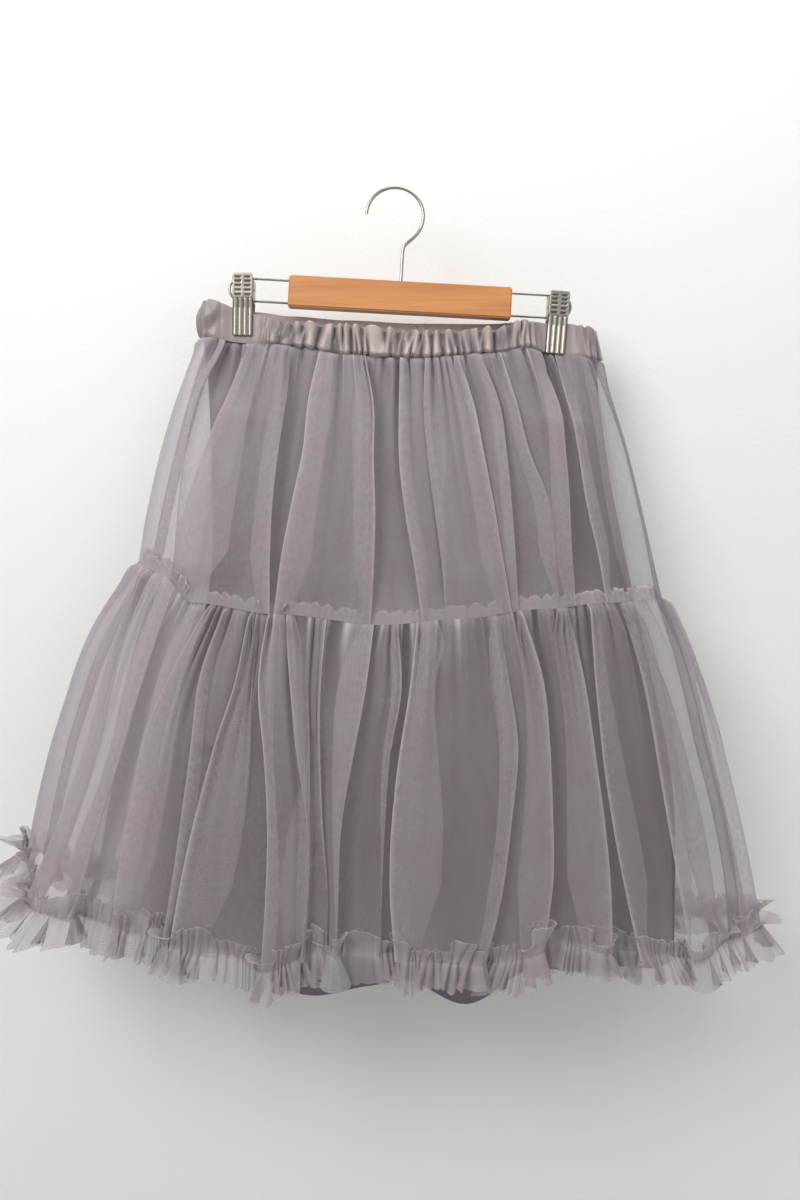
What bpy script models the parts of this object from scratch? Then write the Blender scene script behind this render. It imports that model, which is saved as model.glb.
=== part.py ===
# Ruffle skirt on a clip hanger: a gathered satin waistband, an A-line lining, two tiers
# of gathered tulle and a hem ruffle, hung by two clips from a short wooden hanger.
# Metres, +Z up. The front faces -Y. The origin is inside the crown of the hanger's hook.
# All cloth walls run through rings. A ring is a flattened oval round the body, and a
# fold or wave moves its points along the oval's own normal, so no wall can cross itself.

import math
import random
from collections import namedtuple

import bmesh
import bpy
from mathutils import Matrix, Vector

# Cloth thicknesses and clearances
BAND_THICKNESS = 0.0026
TULLE_THICKNESS = 0.0018
RUFFLE_THICKNESS = 0.0016
LINING_THICKNESS = 0.0012
SEAM_GAP = 0.0003
EDGE_GAP = 0.00045

# How square the rings are: 2 is an ellipse, more has flatter front and back
SQUARENESS = 2.5

# Each fold of the lower tier has this many columns of points, and the same columns serve
# the upper tier and the waistband, so that walls that lie on each other match
COLUMNS_PER_FOLD = 5

# The garment's sizes down its length
SEAM_ALLOWANCE = 0.011
RUFFLE_ABOVE = 0.024
RUFFLE_BELOW = 0.023

# A ring: half widths to the left and right, then the y of its sides, front and back
Ring = namedtuple("Ring", "left right sides front back")

BAND_TOP_RING = Ring(0.173, 0.183, 0.000, -0.0180, 0.0120)
BAND_BOTTOM_RING = Ring(0.178, 0.187, 0.000, -0.0205, 0.0140)

# Upper tier: share of the way down, then the ring there
UPPER_RINGS = (
    (0.00, Ring(0.1785, 0.1875, 0.000, -0.0205, 0.0140)),
    (0.33, Ring(0.2000, 0.2110, -0.006, -0.0430, 0.0235)),
    (0.67, Ring(0.2170, 0.2270, -0.014, -0.0590, 0.0265)),
    (1.00, Ring(0.2300, 0.2395, -0.022, -0.0680, 0.0275)),
)

LOWER_RINGS = (
    (0.00, Ring(0.2300, 0.2395, -0.022, -0.0680, 0.0275)),
    (0.20, Ring(0.2660, 0.2640, -0.028, -0.0830, 0.0290)),
    (0.52, Ring(0.2980, 0.2880, -0.036, -0.0990, 0.0300)),
    (0.91, Ring(0.3220, 0.3110, -0.043, -0.1100, 0.0310)),
    (1.00, Ring(0.3260, 0.3150, -0.045, -0.1120, 0.0310)),
)

LINING_RINGS = (
    (0.00, Ring(0.1785, 0.1875, 0.000, -0.0205, 0.0140)),
    (0.22, Ring(0.1765, 0.2030, -0.003, -0.0260, 0.0110)),
    (0.55, Ring(0.1950, 0.2320, -0.015, -0.0440, 0.0080)),
    (1.00, Ring(0.2500, 0.2680, -0.030, -0.0760, 0.0060)),
)

# Heights of the garment's edges: share across from left to right, z in front, z at the back
Edge = namedtuple("Edge", "across front back")

BAND_TOP_EDGE = (
    Edge(-1.00, -0.1030, -0.1030),
    Edge(-0.74, -0.1165, -0.1125),
    Edge(-0.55, -0.1280, -0.1145),
    Edge(-0.25, -0.1310, -0.1180),
    Edge(0.12, -0.1364, -0.1210),
    Edge(0.48, -0.1340, -0.1215),
    Edge(0.65, -0.1250, -0.1200),
    Edge(0.84, -0.1247, -0.1247),
    Edge(1.00, -0.1300, -0.1300),
)

BAND_BOTTOM_EDGE = (
    Edge(-1.00, -0.1380, -0.1380),
    Edge(-0.74, -0.1432, -0.1375),
    Edge(-0.50, -0.1490, -0.1410),
    Edge(-0.25, -0.1570, -0.1450),
    Edge(0.12, -0.1600, -0.1480),
    Edge(0.48, -0.1550, -0.1485),
    Edge(0.65, -0.1490, -0.1480),
    Edge(0.84, -0.1542, -0.1542),
    Edge(1.00, -0.1590, -0.1590),
)

TIER_SEAM = (
    Edge(-1.00, -0.3440, -0.3440),
    Edge(-0.87, -0.3570, -0.3560),
    Edge(-0.76, -0.3800, -0.3640),
    Edge(-0.43, -0.3900, -0.3780),
    Edge(-0.04, -0.3990, -0.3850),
    Edge(0.22, -0.3940, -0.3870),
    Edge(0.53, -0.3855, -0.3860),
    Edge(0.76, -0.3800, -0.3820),
    Edge(1.00, -0.3760, -0.3760),
)

HEM_EDGE = (
    Edge(-1.00, -0.5970, -0.5970),
    Edge(-0.90, -0.6380, -0.6170),
    Edge(-0.68, -0.6520, -0.6380),
    Edge(-0.46, -0.6680, -0.6500),
    Edge(-0.32, -0.6800, -0.6550),
    Edge(-0.20, -0.6670, -0.6580),
    Edge(0.10, -0.6690, -0.6620),
    Edge(0.26, -0.6750, -0.6640),
    Edge(0.42, -0.6610, -0.6650),
    Edge(0.66, -0.6720, -0.6650),
    Edge(0.78, -0.6780, -0.6640),
    Edge(0.90, -0.6630, -0.6610),
    Edge(1.00, -0.6560, -0.6560),
)

LINING_HEM = (
    Edge(-1.00, -0.6500, -0.6500),
    Edge(-0.60, -0.6860, -0.6780),
    Edge(-0.22, -0.7080, -0.6950),
    Edge(0.05, -0.7000, -0.7000),
    Edge(0.22, -0.7120, -0.7020),
    Edge(0.60, -0.7050, -0.7020),
    Edge(1.00, -0.6960, -0.6960),
)

# Folds: share across the panel, how far the fold stands out, and how far the hollow on
# its left (in front) or on its right (at the back) goes in, both at the panel's lower edge
Fold = namedtuple("Fold", "across rise dip")

LOWER_FRONT_FOLDS = (
    Fold(1.00, 0.000, 0.006),
    Fold(0.89, 0.002, 0.009),
    Fold(0.77, 0.007, 0.013),
    Fold(0.66, 0.001, 0.020),
    Fold(0.56, 0.006, 0.013),
    Fold(0.46, 0.009, 0.021),
    Fold(0.37, 0.003, 0.012),
    Fold(0.285, 0.009, 0.015),
    Fold(0.19, 0.004, 0.010),
    Fold(0.09, 0.007, 0.012),
    Fold(-0.015, 0.009, 0.022),
    Fold(-0.12, 0.001, 0.019),
    Fold(-0.223, 0.006, 0.012),
    Fold(-0.324, 0.018, 0.016),
    Fold(-0.44, 0.005, 0.014),
    Fold(-0.54, 0.008, 0.018),
    Fold(-0.635, 0.003, 0.016),
    Fold(-0.73, 0.006, 0.013),
    Fold(-0.83, 0.002, 0.011),
    Fold(-0.93, 0.003, 0.007),
)

LOWER_BACK_FOLDS = (
    Fold(-1.00, 0.000, 0.005),
    Fold(-0.90, 0.001, 0.009),
    Fold(-0.78, 0.003, 0.013),
    Fold(-0.67, 0.001, 0.011),
    Fold(-0.56, 0.004, 0.015),
    Fold(-0.43, 0.001, 0.012),
    Fold(-0.32, 0.003, 0.014),
    Fold(-0.20, 0.000, 0.016),
    Fold(-0.07, 0.004, 0.012),
    Fold(0.05, 0.002, 0.015),
    Fold(0.18, 0.003, 0.013),
    Fold(0.31, 0.000, 0.011),
    Fold(0.43, 0.004, 0.016),
    Fold(0.55, 0.001, 0.012),
    Fold(0.67, 0.003, 0.013),
    Fold(0.79, 0.001, 0.010),
)

UPPER_FRONT_FOLDS = (
    Fold(1.00, 0.000, 0.003),
    Fold(0.89, 0.000, 0.004),
    Fold(0.76, 0.003, 0.007),
    Fold(0.67, 0.001, 0.009),
    Fold(0.55, 0.004, 0.008),
    Fold(0.39, 0.005, 0.006),
    Fold(0.21, 0.002, 0.008),
    Fold(0.03, 0.005, 0.013),
    Fold(-0.16, 0.003, 0.007),
    Fold(-0.31, 0.005, 0.012),
    Fold(-0.49, 0.004, 0.008),
    Fold(-0.64, 0.001, 0.008),
    Fold(-0.78, 0.004, 0.006),
    Fold(-0.90, 0.001, 0.003),
)

UPPER_BACK_FOLDS = (
    Fold(-1.00, 0.000, 0.003),
    Fold(-0.80, 0.001, 0.006),
    Fold(-0.60, 0.002, 0.008),
    Fold(-0.38, 0.001, 0.007),
    Fold(-0.18, 0.003, 0.009),
    Fold(0.04, 0.001, 0.007),
    Fold(0.26, 0.002, 0.009),
    Fold(0.47, 0.001, 0.008),
    Fold(0.66, 0.002, 0.007),
    Fold(0.84, 0.001, 0.005),
)

LINING_FOLDS = 2
LINING_FOLD_DEPTH = 0.007

# How strongly the folds show down the upper and the lower tier
UPPER_FOLD_STRENGTH = ((0.00, 0.10), (0.33, 0.85), (0.67, 1.10), (1.00, 0.80))
LOWER_FOLD_STRENGTH = ((0.00, 0.00), (0.20, 0.42), (0.52, 0.80), (0.91, 1.00), (1.00, 1.00))

# Waistband gathers
GATHER_DEPTH = (0.0008, 0.0030)
GATHER_COLUMNS = 4

# Hem ruffle: a wave is four columns, at half the fold columns' spacing
RUFFLE_WAVE_COLUMNS = 4
RUFFLE_FLARE_TOP = (0.005, 0.015)
RUFFLE_FLARE_STITCH = (0.0015, 0.0035)
RUFFLE_FLARE_BOTTOM = (0.006, 0.016)
RUFFLE_RAGGED = 0.0035
RUFFLE_GAP = 0.0006

# Side seams lie a little round to the front on the right and to the back on the left
SEAM_TURN = 4

# Wooden bar, tilted clockwise as it hangs
TILT = math.radians(3.22)
BAR_CENTRE = Vector((0.0046, 0.0, -0.1002))
BAR_LENGTH = 0.2045
BAR_HEIGHT = 0.0285
BAR_DEPTH = 0.0120
BAR_ROUNDING = 0.0012

# Wires
WIRE_GAP = 0.0003
HOOK_WIRE = 0.0030
HOOK_RADIUS = 0.0262
HOOK_TIP_ANGLE = 175.0
HOOK_END_ANGLE = -48.0
HOOK_STEPS = 15
HOOK_FOOT_DEPTH = 0.014
ROD_WIRE = 0.0023
ROD_SPREAD = 0.0206
ROD_REACH = 0.1582
ROD_FOOT_DEPTH = 0.014

# Clips: x and z of the middle, and the tilt in degrees
Clip = namedtuple("Clip", "name x z tilt")
CLIPS = (
    Clip("clip_left", -0.1389, -0.1082, 1.0),
    Clip("clip_right", 0.1482, -0.1248, 4.6),
)
CLIP_WIDTH = 0.0185
CLIP_HEIGHT = 0.0566
CLIP_PLATE = 0.0010
CLIP_JAW_Y = 0.0060
CLIP_LEVER_Y = 0.0098
CLIP_FLUTES = 4
CLIP_FLUTE_COLUMNS = 3
CLIP_FLUTE_DEPTH = 0.0009
CLIP_CHEEK = 0.0009
CLIP_CHEEK_HEIGHT = 0.0205
CLIP_CHEEK_DROP = 0.0045
CLIP_PIN = 0.0024
PINCH_HALF_GAP = 0.0043
PINCH_FLAT = 0.0115
PINCH_FADE = 0.0260

# Colours as linear values
MAUVE_SATIN = (0.330, 0.280, 0.300)
MAUVE_LINING = (0.230, 0.195, 0.235)
MAUVE_TULLE = (0.420, 0.370, 0.390)
WOOD = (0.580, 0.270, 0.110)
NICKEL = (0.640, 0.610, 0.570)

GUIDE_SIDES = 16


def clear_scene():
    for item in list(bpy.data.objects):
        bpy.data.objects.remove(item, do_unlink=True)


def make_material(name, colour, roughness, metallic=0.0):
    material = bpy.data.materials.new(name)
    material.use_nodes = True
    shader = material.node_tree.nodes["Principled BSDF"]
    shader.inputs["Base Color"].default_value = (*colour, 1.0)
    shader.inputs["Roughness"].default_value = roughness
    shader.inputs["Metallic"].default_value = metallic
    return material


def blend(low, high, share):
    return low + (high - low) * share


def ease(share):
    share = min(max(share, 0.0), 1.0)
    return share * share * (3.0 - 2.0 * share)


# Rings and edges


def ring_angle(across, at_back):
    """Angle round a ring, from its right side through the front, of a share across it."""
    angle = math.acos(math.copysign(abs(across) ** (SQUARENESS / 2.0), across))
    return 2.0 * math.pi - angle if at_back else angle


def ring_across(angle):
    cosine = math.cos(angle)
    return math.copysign(abs(cosine) ** (2.0 / SQUARENESS), cosine)


def clip_pinch(x):
    """1 where a clip squeezes front and back together, fading to 0 beside it."""
    nearest = min(abs(x - clip.x) for clip in CLIPS)
    return 1.0 - ease((nearest - PINCH_FLAT) / PINCH_FADE)


def ring_point(ring, angle, pinch_strength):
    across = ring_across(angle)
    sine = math.sin(angle)
    away = abs(sine) ** (2.0 / SQUARENESS)
    x = across * (ring.right if across > 0.0 else ring.left)
    outer = ring.front if sine > 0.0 else ring.back
    y = blend(ring.sides, outer, away)
    pinched = math.copysign(PINCH_HALF_GAP, outer)
    y = blend(y, pinched, pinch_strength * clip_pinch(x) * min(1.0, away * 1.6))
    return Vector((x, y, 0.0))


def ring_normal(ring, angle, pinch_strength):
    step = 0.012
    ahead = ring_point(ring, angle + step, pinch_strength)
    behind = ring_point(ring, angle - step, pinch_strength)
    along = (ahead - behind).normalized()
    return Vector((-along.y, along.x, 0.0))


def ring_between(rings, share):
    """The ring at a share of the way down a list of (share, ring) rows."""
    for (low, ring_low), (high, ring_high) in zip(rings, rings[1:]):
        if share <= high:
            part = max(0.0, (share - low) / (high - low))
            return Ring(*(blend(a, b, part) for a, b in zip(ring_low, ring_high)))
    return rings[-1][1]


def value_between(rows, share):
    for (low, value_low), (high, value_high) in zip(rows, rows[1:]):
        if share <= high:
            return blend(value_low, value_high, max(0.0, (share - low) / (high - low)))
    return rows[-1][1]


def edge_height(edge, angle):
    across = ring_across(angle)
    for left, right in zip(edge, edge[1:]):
        if across <= right.across:
            break
    part = ease((across - left.across) / (right.across - left.across))
    if math.sin(angle) > 0.0:
        return blend(left.front, right.front, part)
    return blend(left.back, right.back, part)


# Columns of points round the skirt, shared by the walls that lie on each other


def fold_angles(front_folds, back_folds):
    front = [ring_angle(fold.across, False) for fold in front_folds]
    back = [ring_angle(fold.across, True) for fold in back_folds]
    return front + back


def spread_columns(angles, per_fold):
    columns = []
    for here, after in zip(angles, angles[1:] + [angles[0] + 2.0 * math.pi]):
        for step in range(per_fold):
            columns.append(blend(here, after, step / per_fold))
    return columns


RIDGES = fold_angles(LOWER_FRONT_FOLDS, LOWER_BACK_FOLDS)
COLUMNS = spread_columns(RIDGES, COLUMNS_PER_FOLD)
COLUMN_COUNT = len(COLUMNS)
RIGHT_SEAM = SEAM_TURN
LEFT_SEAM = COLUMNS_PER_FOLD * len(LOWER_FRONT_FOLDS) + SEAM_TURN


def nearest_column(angle):
    return min(range(COLUMN_COUNT), key=lambda index: abs(COLUMNS[index] - angle))


def fold_waves(front_folds, back_folds):
    """How far each column stands out (+) or in (-) at the panel's lower edge."""
    folds = front_folds + back_folds
    places = [nearest_column(angle) for angle in fold_angles(front_folds, back_folds)]
    waves = [0.0] * COLUMN_COUNT
    for number, fold in enumerate(folds):
        after = folds[(number + 1) % len(folds)]
        start = places[number]
        end = places[(number + 1) % len(folds)]
        if end <= start:
            end += COLUMN_COUNT
        for column in range(start, end):
            part = (column - start) / (end - start)
            crest = fold.rise if part < 0.5 else after.rise
            wave = 0.5 + 0.5 * math.cos(2.0 * math.pi * part)
            waves[column % COLUMN_COUNT] = blend(-fold.dip, crest, wave)
    return waves


LOWER_WAVES = fold_waves(LOWER_FRONT_FOLDS, LOWER_BACK_FOLDS)
UPPER_WAVES = fold_waves(UPPER_FRONT_FOLDS, UPPER_BACK_FOLDS)


# Rows: lists of (point, normal) round the skirt, one for each column


def band_row(share):
    top = BAND_TOP_RING
    bottom = BAND_BOTTOM_RING
    ring = Ring(*(blend(a, b, share) for a, b in zip(top, bottom)))
    row = []
    for angle in COLUMNS:
        point = ring_point(ring, angle, 1.0)
        high = edge_height(BAND_TOP_EDGE, angle)
        low = edge_height(BAND_BOTTOM_EDGE, angle)
        point.z = blend(high, low, share)
        row.append((point, ring_normal(ring, angle, 1.0)))
    return row


def upper_row(share):
    ring = ring_between(UPPER_RINGS, share)
    strength = value_between(UPPER_FOLD_STRENGTH, share)
    pinch_strength = max(0.0, 1.0 - share / 0.30)
    row = []
    for column, angle in enumerate(COLUMNS):
        normal = ring_normal(ring, angle, pinch_strength)
        point = ring_point(ring, angle, pinch_strength)
        wave = UPPER_WAVES[column] * strength
        if share == 0.0:
            wave = max(0.0, wave)
        point += normal * wave
        high = edge_height(BAND_BOTTOM_EDGE, angle) - EDGE_GAP
        low = edge_height(TIER_SEAM, angle)
        point.z = blend(high, low, share)
        row.append((point, normal))
    return row


def lower_row(share):
    ring = ring_between(LOWER_RINGS, share)
    own = value_between(LOWER_FOLD_STRENGTH, share)
    shared = UPPER_FOLD_STRENGTH[-1][1] * max(0.0, 1.0 - share / 0.35)
    row = []
    for column, angle in enumerate(COLUMNS):
        normal = ring_normal(ring, angle, 0.0)
        point = ring_point(ring, angle, 0.0)
        point += normal * (LOWER_WAVES[column] * own + UPPER_WAVES[column] * shared)
        high = edge_height(TIER_SEAM, angle)
        low = edge_height(HEM_EDGE, angle)
        point.z = blend(high, low, share)
        row.append((point, normal))
    return row


def lining_row(share):
    ring = ring_between(LINING_RINGS, share)
    pinch_strength = max(0.0, 1.0 - share / 0.12)
    row = []
    for column in range(0, COLUMN_COUNT, 2):
        angle = COLUMNS[column]
        normal = ring_normal(ring, angle, pinch_strength)
        point = ring_point(ring, angle, pinch_strength)
        wave = 0.5 + 0.5 * math.cos(angle * LINING_FOLDS * 2.0 + 0.8)
        point -= normal * wave * LINING_FOLD_DEPTH * share
        high = edge_height(BAND_BOTTOM_EDGE, angle) - EDGE_GAP
        low = edge_height(LINING_HEM, angle)
        point.z = blend(high, low, share)
        row.append((point, normal))
    return row


def move_row(row, distance):
    return [point + normal * distance for point, normal in row]


# Walls


def build_object(name, bm, material):
    bmesh.ops.recalc_face_normals(bm, faces=bm.faces)
    mesh = bpy.data.meshes.new(name)
    bm.to_mesh(mesh)
    bm.free()
    mesh.materials.append(material)
    mesh.shade_smooth()
    mesh.set_sharp_from_angle(angle=math.radians(45.0))
    item = bpy.data.objects.new(name, mesh)
    bpy.context.scene.collection.objects.link(item)
    return item


def quad_grid(bm, first, second):
    """Join two equally long lists of rows of vertices with quads, row by row."""
    for one, two in zip(first, second):
        for a, b, c, d in zip(one, one[1:], two[1:], two):
            bm.faces.new((a, b, c, d))


def cloth_wall(name, outer, inner, closed, material):
    """One closed wall between an outer and an inner skin, each a list of rows."""
    bm = bmesh.new()
    skins = []
    for skin in (outer, inner):
        rows = [[bm.verts.new(point) for point in row] for row in skin]
        if closed:
            rows = [row + row[:1] for row in rows]
        skins.append(rows)
    out_rows, in_rows = skins
    quad_grid(bm, out_rows[:-1], out_rows[1:])
    quad_grid(bm, in_rows[1:], in_rows[:-1])
    quad_grid(bm, in_rows[:1], out_rows[:1])
    quad_grid(bm, out_rows[-1:], in_rows[-1:])
    if not closed:
        for end in (0, -1):
            out_column = [row[end] for row in out_rows]
            in_column = [row[end] for row in in_rows]
            quad_grid(bm, [out_column], [in_column])
    bmesh.ops.triangulate(bm, faces=bm.faces)
    return build_object(name, bm, material)


def panel_rows(rows, start, end):
    """The columns from start to end, with each end drawn in by half the seam's gap."""
    count = len(rows[0])
    picked = []
    for row in rows:
        points = [row[index % count].copy() for index in range(start, end + 1)]
        first_step = (points[1] - points[0]).normalized()
        last_step = (points[-2] - points[-1]).normalized()
        points[0] += first_step * SEAM_GAP * 0.5
        points[-1] += last_step * SEAM_GAP * 0.5
        picked.append(points)
    return picked


def panel_pair(name, outer, inner, seams, material):
    """Front and back panels of one tier, parted at the two side seams."""
    count = len(outer[0])
    right, left = seams
    spans = {"front": (right, left), "back": (left, right + count)}
    for side, (start, end) in spans.items():
        cloth_wall(
            name + "_" + side,
            panel_rows(outer, start, end),
            panel_rows(inner, start, end),
            False,
            material,
        )


def make_waistband(material):
    """A casing drawn up by elastic: upright gathers, flattened under the clips."""
    chance = random.Random(11)
    depths = []
    for _ in range(COLUMN_COUNT // GATHER_COLUMNS):
        depths.append(chance.uniform(*GATHER_DEPTH))
    rows = [band_row(share) for share in (0.0, 0.5, 1.0)]
    outer = []
    inner = []
    for row in rows:
        outer_points = []
        inner_points = []
        for column, (point, normal) in enumerate(row):
            depth = depths[column // GATHER_COLUMNS]
            phase = 2.0 * math.pi * column / GATHER_COLUMNS
            free = 1.0 - 0.95 * clip_pinch(point.x)
            wave = math.cos(phase) * depth * 0.5 * free
            outer_points.append(point + normal * (wave + BAND_THICKNESS * 0.5))
            inner_points.append(point + normal * (wave - BAND_THICKNESS * 0.5))
        outer.append(outer_points)
        inner.append(inner_points)
    cloth_wall("waistband", outer, inner, True, material)


def make_lining(material):
    rows = [lining_row(share) for share in (0.0, 0.22, 0.55, 1.0)]
    start = -0.0014
    outer = [move_row(row, start) for row in rows]
    inner = [move_row(row, start - LINING_THICKNESS) for row in rows]
    seams = (RIGHT_SEAM // 2, LEFT_SEAM // 2)
    panel_pair("lining", outer, inner, seams, material)


def make_upper_tier(material):
    rows = [upper_row(share) for share in (0.0, 0.33, 0.67, 1.0)]
    outer = [move_row(rows[0], BAND_THICKNESS * 0.5)]
    outer += [move_row(row, 0.0) for row in rows[1:]]
    inner = [move_row(rows[0], BAND_THICKNESS * 0.5 - TULLE_THICKNESS)]
    inner += [move_row(row, -TULLE_THICKNESS) for row in rows[1:]]
    panel_pair("upper_tier", outer, inner, (RIGHT_SEAM, LEFT_SEAM), material)


def allowance_row():
    """The lower tier's top edge, turned up inside the upper tier along its last row."""
    seam = upper_row(1.0)
    above = upper_row(0.67)
    row = []
    for (low, normal), (high, _) in zip(seam, above):
        part = SEAM_ALLOWANCE / (high.z - low.z)
        row.append((low.lerp(high, part), normal))
    return row


def lower_rows():
    shares = (0.0, 0.20, 0.52, 0.91, 1.0)
    return [lower_row(share) for share in shares]


def make_lower_tier(material):
    rows = lower_rows()
    tucked = TULLE_THICKNESS + 2.0 * SEAM_GAP
    shifts = (-tucked, 0.0, 0.0, 0.0, 0.0)
    outer = [move_row(allowance_row(), -tucked)]
    inner = [move_row(allowance_row(), -tucked - TULLE_THICKNESS)]
    for row, shift in zip(rows, shifts):
        outer.append(move_row(row, shift))
        inner.append(move_row(row, shift - TULLE_THICKNESS))
    seam = Vector((0.0, 0.0, SEAM_GAP * 2.0))
    outer[1] = [point - seam for point in outer[1]]
    inner[1] = [point - seam for point in inner[1]]
    panel_pair("lower_tier", outer, inner, (RIGHT_SEAM, LEFT_SEAM), material)


def make_ruffle(material):
    """A strip on the tulle's own points, stitched along its middle, waving at both edges."""
    chance = random.Random(23)
    above, hem = lower_rows()[-2:]
    count = COLUMN_COUNT * 2
    waves = count // RUFFLE_WAVE_COLUMNS
    flares = (RUFFLE_FLARE_TOP, RUFFLE_FLARE_STITCH, RUFFLE_FLARE_BOTTOM)
    reach = [[chance.uniform(*flare) for _ in range(waves)] for flare in flares]
    pattern = (1.0, 0.5, 0.0, 0.5)
    outer = [[], [], []]
    inner = [[], [], []]
    for column in range(count):
        here = column // 2
        after = (here + column % 2) % COLUMN_COUNT
        top = (above[here][0] + above[after][0]) * 0.5
        bottom = (hem[here][0] + hem[after][0]) * 0.5
        normal = (hem[here][1] + hem[after][1]).normalized()
        slope = (top - bottom) / (top.z - bottom.z)
        high = RUFFLE_ABOVE - chance.random() * RUFFLE_RAGGED
        low = RUFFLE_BELOW + chance.uniform(-1.0, 1.0) * RUFFLE_RAGGED
        places = (bottom + slope * high, bottom, bottom - slope * low)
        wave = column // RUFFLE_WAVE_COLUMNS
        lift = pattern[column % RUFFLE_WAVE_COLUMNS]
        for level, place in enumerate(places):
            out = RUFFLE_GAP + lift * reach[level][wave]
            inner[level].append(place + normal * out)
            outer[level].append(place + normal * (out + RUFFLE_THICKNESS))
    panel_pair("hem_ruffle", outer, inner, (RIGHT_SEAM * 2, LEFT_SEAM * 2), material)


# Hanger


def tilt_matrix():
    return Matrix.Translation(BAR_CENTRE) @ Matrix.Rotation(TILT, 4, "Y")


def add_box(bm, size, centre):
    made = bmesh.ops.create_cube(bm, size=1.0)
    bmesh.ops.scale(bm, verts=made["verts"], vec=size)
    bmesh.ops.translate(bm, verts=made["verts"], vec=centre)


def boring_guide(name, radius, start, end):
    """A hidden cylinder that bores a hole from start to end."""
    bm = bmesh.new()
    bmesh.ops.create_cone(
        bm,
        cap_ends=True,
        segments=GUIDE_SIDES,
        radius1=radius,
        radius2=radius,
        depth=(end - start).length,
    )
    mesh = bpy.data.meshes.new(name)
    bm.to_mesh(mesh)
    bm.free()
    guide = bpy.data.objects.new(name, mesh)
    guide.rotation_mode = "QUATERNION"
    guide.rotation_quaternion = (end - start).to_track_quat("Z", "Y")
    guide.location = (start + end) * 0.5
    guide.hide_render = True
    guide.display_type = "WIRE"
    bpy.context.scene.collection.objects.link(guide)
    return guide


def bore(item, guide):
    cut = item.modifiers.new("bore_" + guide.name, "BOOLEAN")
    cut.operation = "DIFFERENCE"
    cut.object = guide


def wire_object(name, points, diameter, material):
    curve = bpy.data.curves.new(name, "CURVE")
    curve.dimensions = "3D"
    curve.bevel_depth = diameter * 0.5
    curve.bevel_resolution = 2
    curve.use_fill_caps = True
    spline = curve.splines.new("POLY")
    spline.points.add(len(points) - 1)
    for spot, point in zip(spline.points, points):
        spot.co = (*point, 1.0)
    curve.materials.append(material)
    item = bpy.data.objects.new(name, curve)
    bpy.context.scene.collection.objects.link(item)
    return item


def rod_points(side):
    """A hairpin from the bar's end out to its bend and back, in world places."""
    half = ROD_SPREAD * 0.5
    foot = BAR_LENGTH * 0.5 - ROD_FOOT_DEPTH
    bend = ROD_REACH - half - ROD_WIRE * 0.5
    flat = [(foot, half), (blend(foot, bend, 0.5), half), (bend, half)]
    for step in range(1, 8):
        angle = math.radians(90.0 - 180.0 * step / 8)
        flat.append((bend + half * math.cos(angle), half * math.sin(angle)))
    flat += [(bend, -half), (blend(foot, bend, 0.5), -half), (foot, -half)]
    place = tilt_matrix()
    return [place @ Vector((side * x, 0.0, z)) for x, z in flat]


def hook_points():
    """The crook as an arc about its own centre, then an S down into the bar."""
    centre_z = HOOK_WIRE * 0.5 - HOOK_RADIUS
    points = []
    for step in range(HOOK_STEPS + 1):
        angle = math.radians(blend(HOOK_TIP_ANGLE, HOOK_END_ANGLE, step / HOOK_STEPS))
        x = HOOK_RADIUS * math.cos(angle)
        z = centre_z + HOOK_RADIUS * math.sin(angle)
        points.append(Vector((x, 0.0, z)))
    place = tilt_matrix()
    top = BAR_HEIGHT * 0.5
    stem_top = place @ Vector((0.0, 0.0, top + 0.022))
    foot = place @ Vector((0.0, 0.0, top - HOOK_FOOT_DEPTH))
    arc_end = points[-1]
    leaving = (points[-1] - points[-2]).normalized() * 0.012
    arriving = (stem_top - foot).normalized() * 0.014
    one = arc_end + leaving
    two = stem_top + arriving
    for step in range(1, 5):
        part = step / 4
        rest = 1.0 - part
        points.append(
            arc_end * rest ** 3
            + one * (3.0 * rest * rest * part)
            + two * (3.0 * rest * part * part)
            + stem_top * part ** 3
        )
    points += [stem_top.lerp(foot, part) for part in (0.33, 0.66, 1.0)]
    return points


def make_hanger(wood, nickel):
    place = tilt_matrix()
    bm = bmesh.new()
    add_box(bm, (BAR_LENGTH, BAR_DEPTH, BAR_HEIGHT), (0.0, 0.0, 0.0))
    bmesh.ops.bevel(
        bm,
        geom=bm.edges[:],
        offset=BAR_ROUNDING,
        segments=2,
        affect="EDGES",
    )
    bar = build_object("hanger_bar", bm, wood)
    bar.location = BAR_CENTRE
    bar.rotation_euler = (0.0, TILT, 0.0)

    top = BAR_HEIGHT * 0.5
    stem = boring_guide(
        "stem_guide",
        HOOK_WIRE * 0.5 + WIRE_GAP,
        place @ Vector((0.0, 0.0, top - HOOK_FOOT_DEPTH - WIRE_GAP)),
        place @ Vector((0.0, 0.0, top + 0.004)),
    )
    bore(bar, stem)
    for side, side_name in ((-1.0, "left"), (1.0, "right")):
        for level, level_name in ((1.0, "high"), (-1.0, "low")):
            inside = BAR_LENGTH * 0.5 - ROD_FOOT_DEPTH - WIRE_GAP
            z = level * ROD_SPREAD * 0.5
            guide = boring_guide(
                "rod_guide_" + side_name + "_" + level_name,
                ROD_WIRE * 0.5 + WIRE_GAP,
                place @ Vector((side * inside, 0.0, z)),
                place @ Vector((side * (BAR_LENGTH * 0.5 + 0.004), 0.0, z)),
            )
            bore(bar, guide)
        wire_object("rod_" + side_name, rod_points(side), ROD_WIRE, nickel)
    wire_object("hook_wire", hook_points(), HOOK_WIRE, nickel)


def clip_plate_rows(offset):
    """Rows down a clip plate as (height, y), with the levers leaning out at the top."""
    half = CLIP_HEIGHT * 0.5
    profile = (
        (half, CLIP_LEVER_Y),
        (half - 0.020, CLIP_LEVER_Y - 0.0018),
        (half - 0.031, CLIP_JAW_Y + 0.0004),
        (-half, CLIP_JAW_Y),
    )
    return [(z, y + offset) for z, y in profile]


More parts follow.
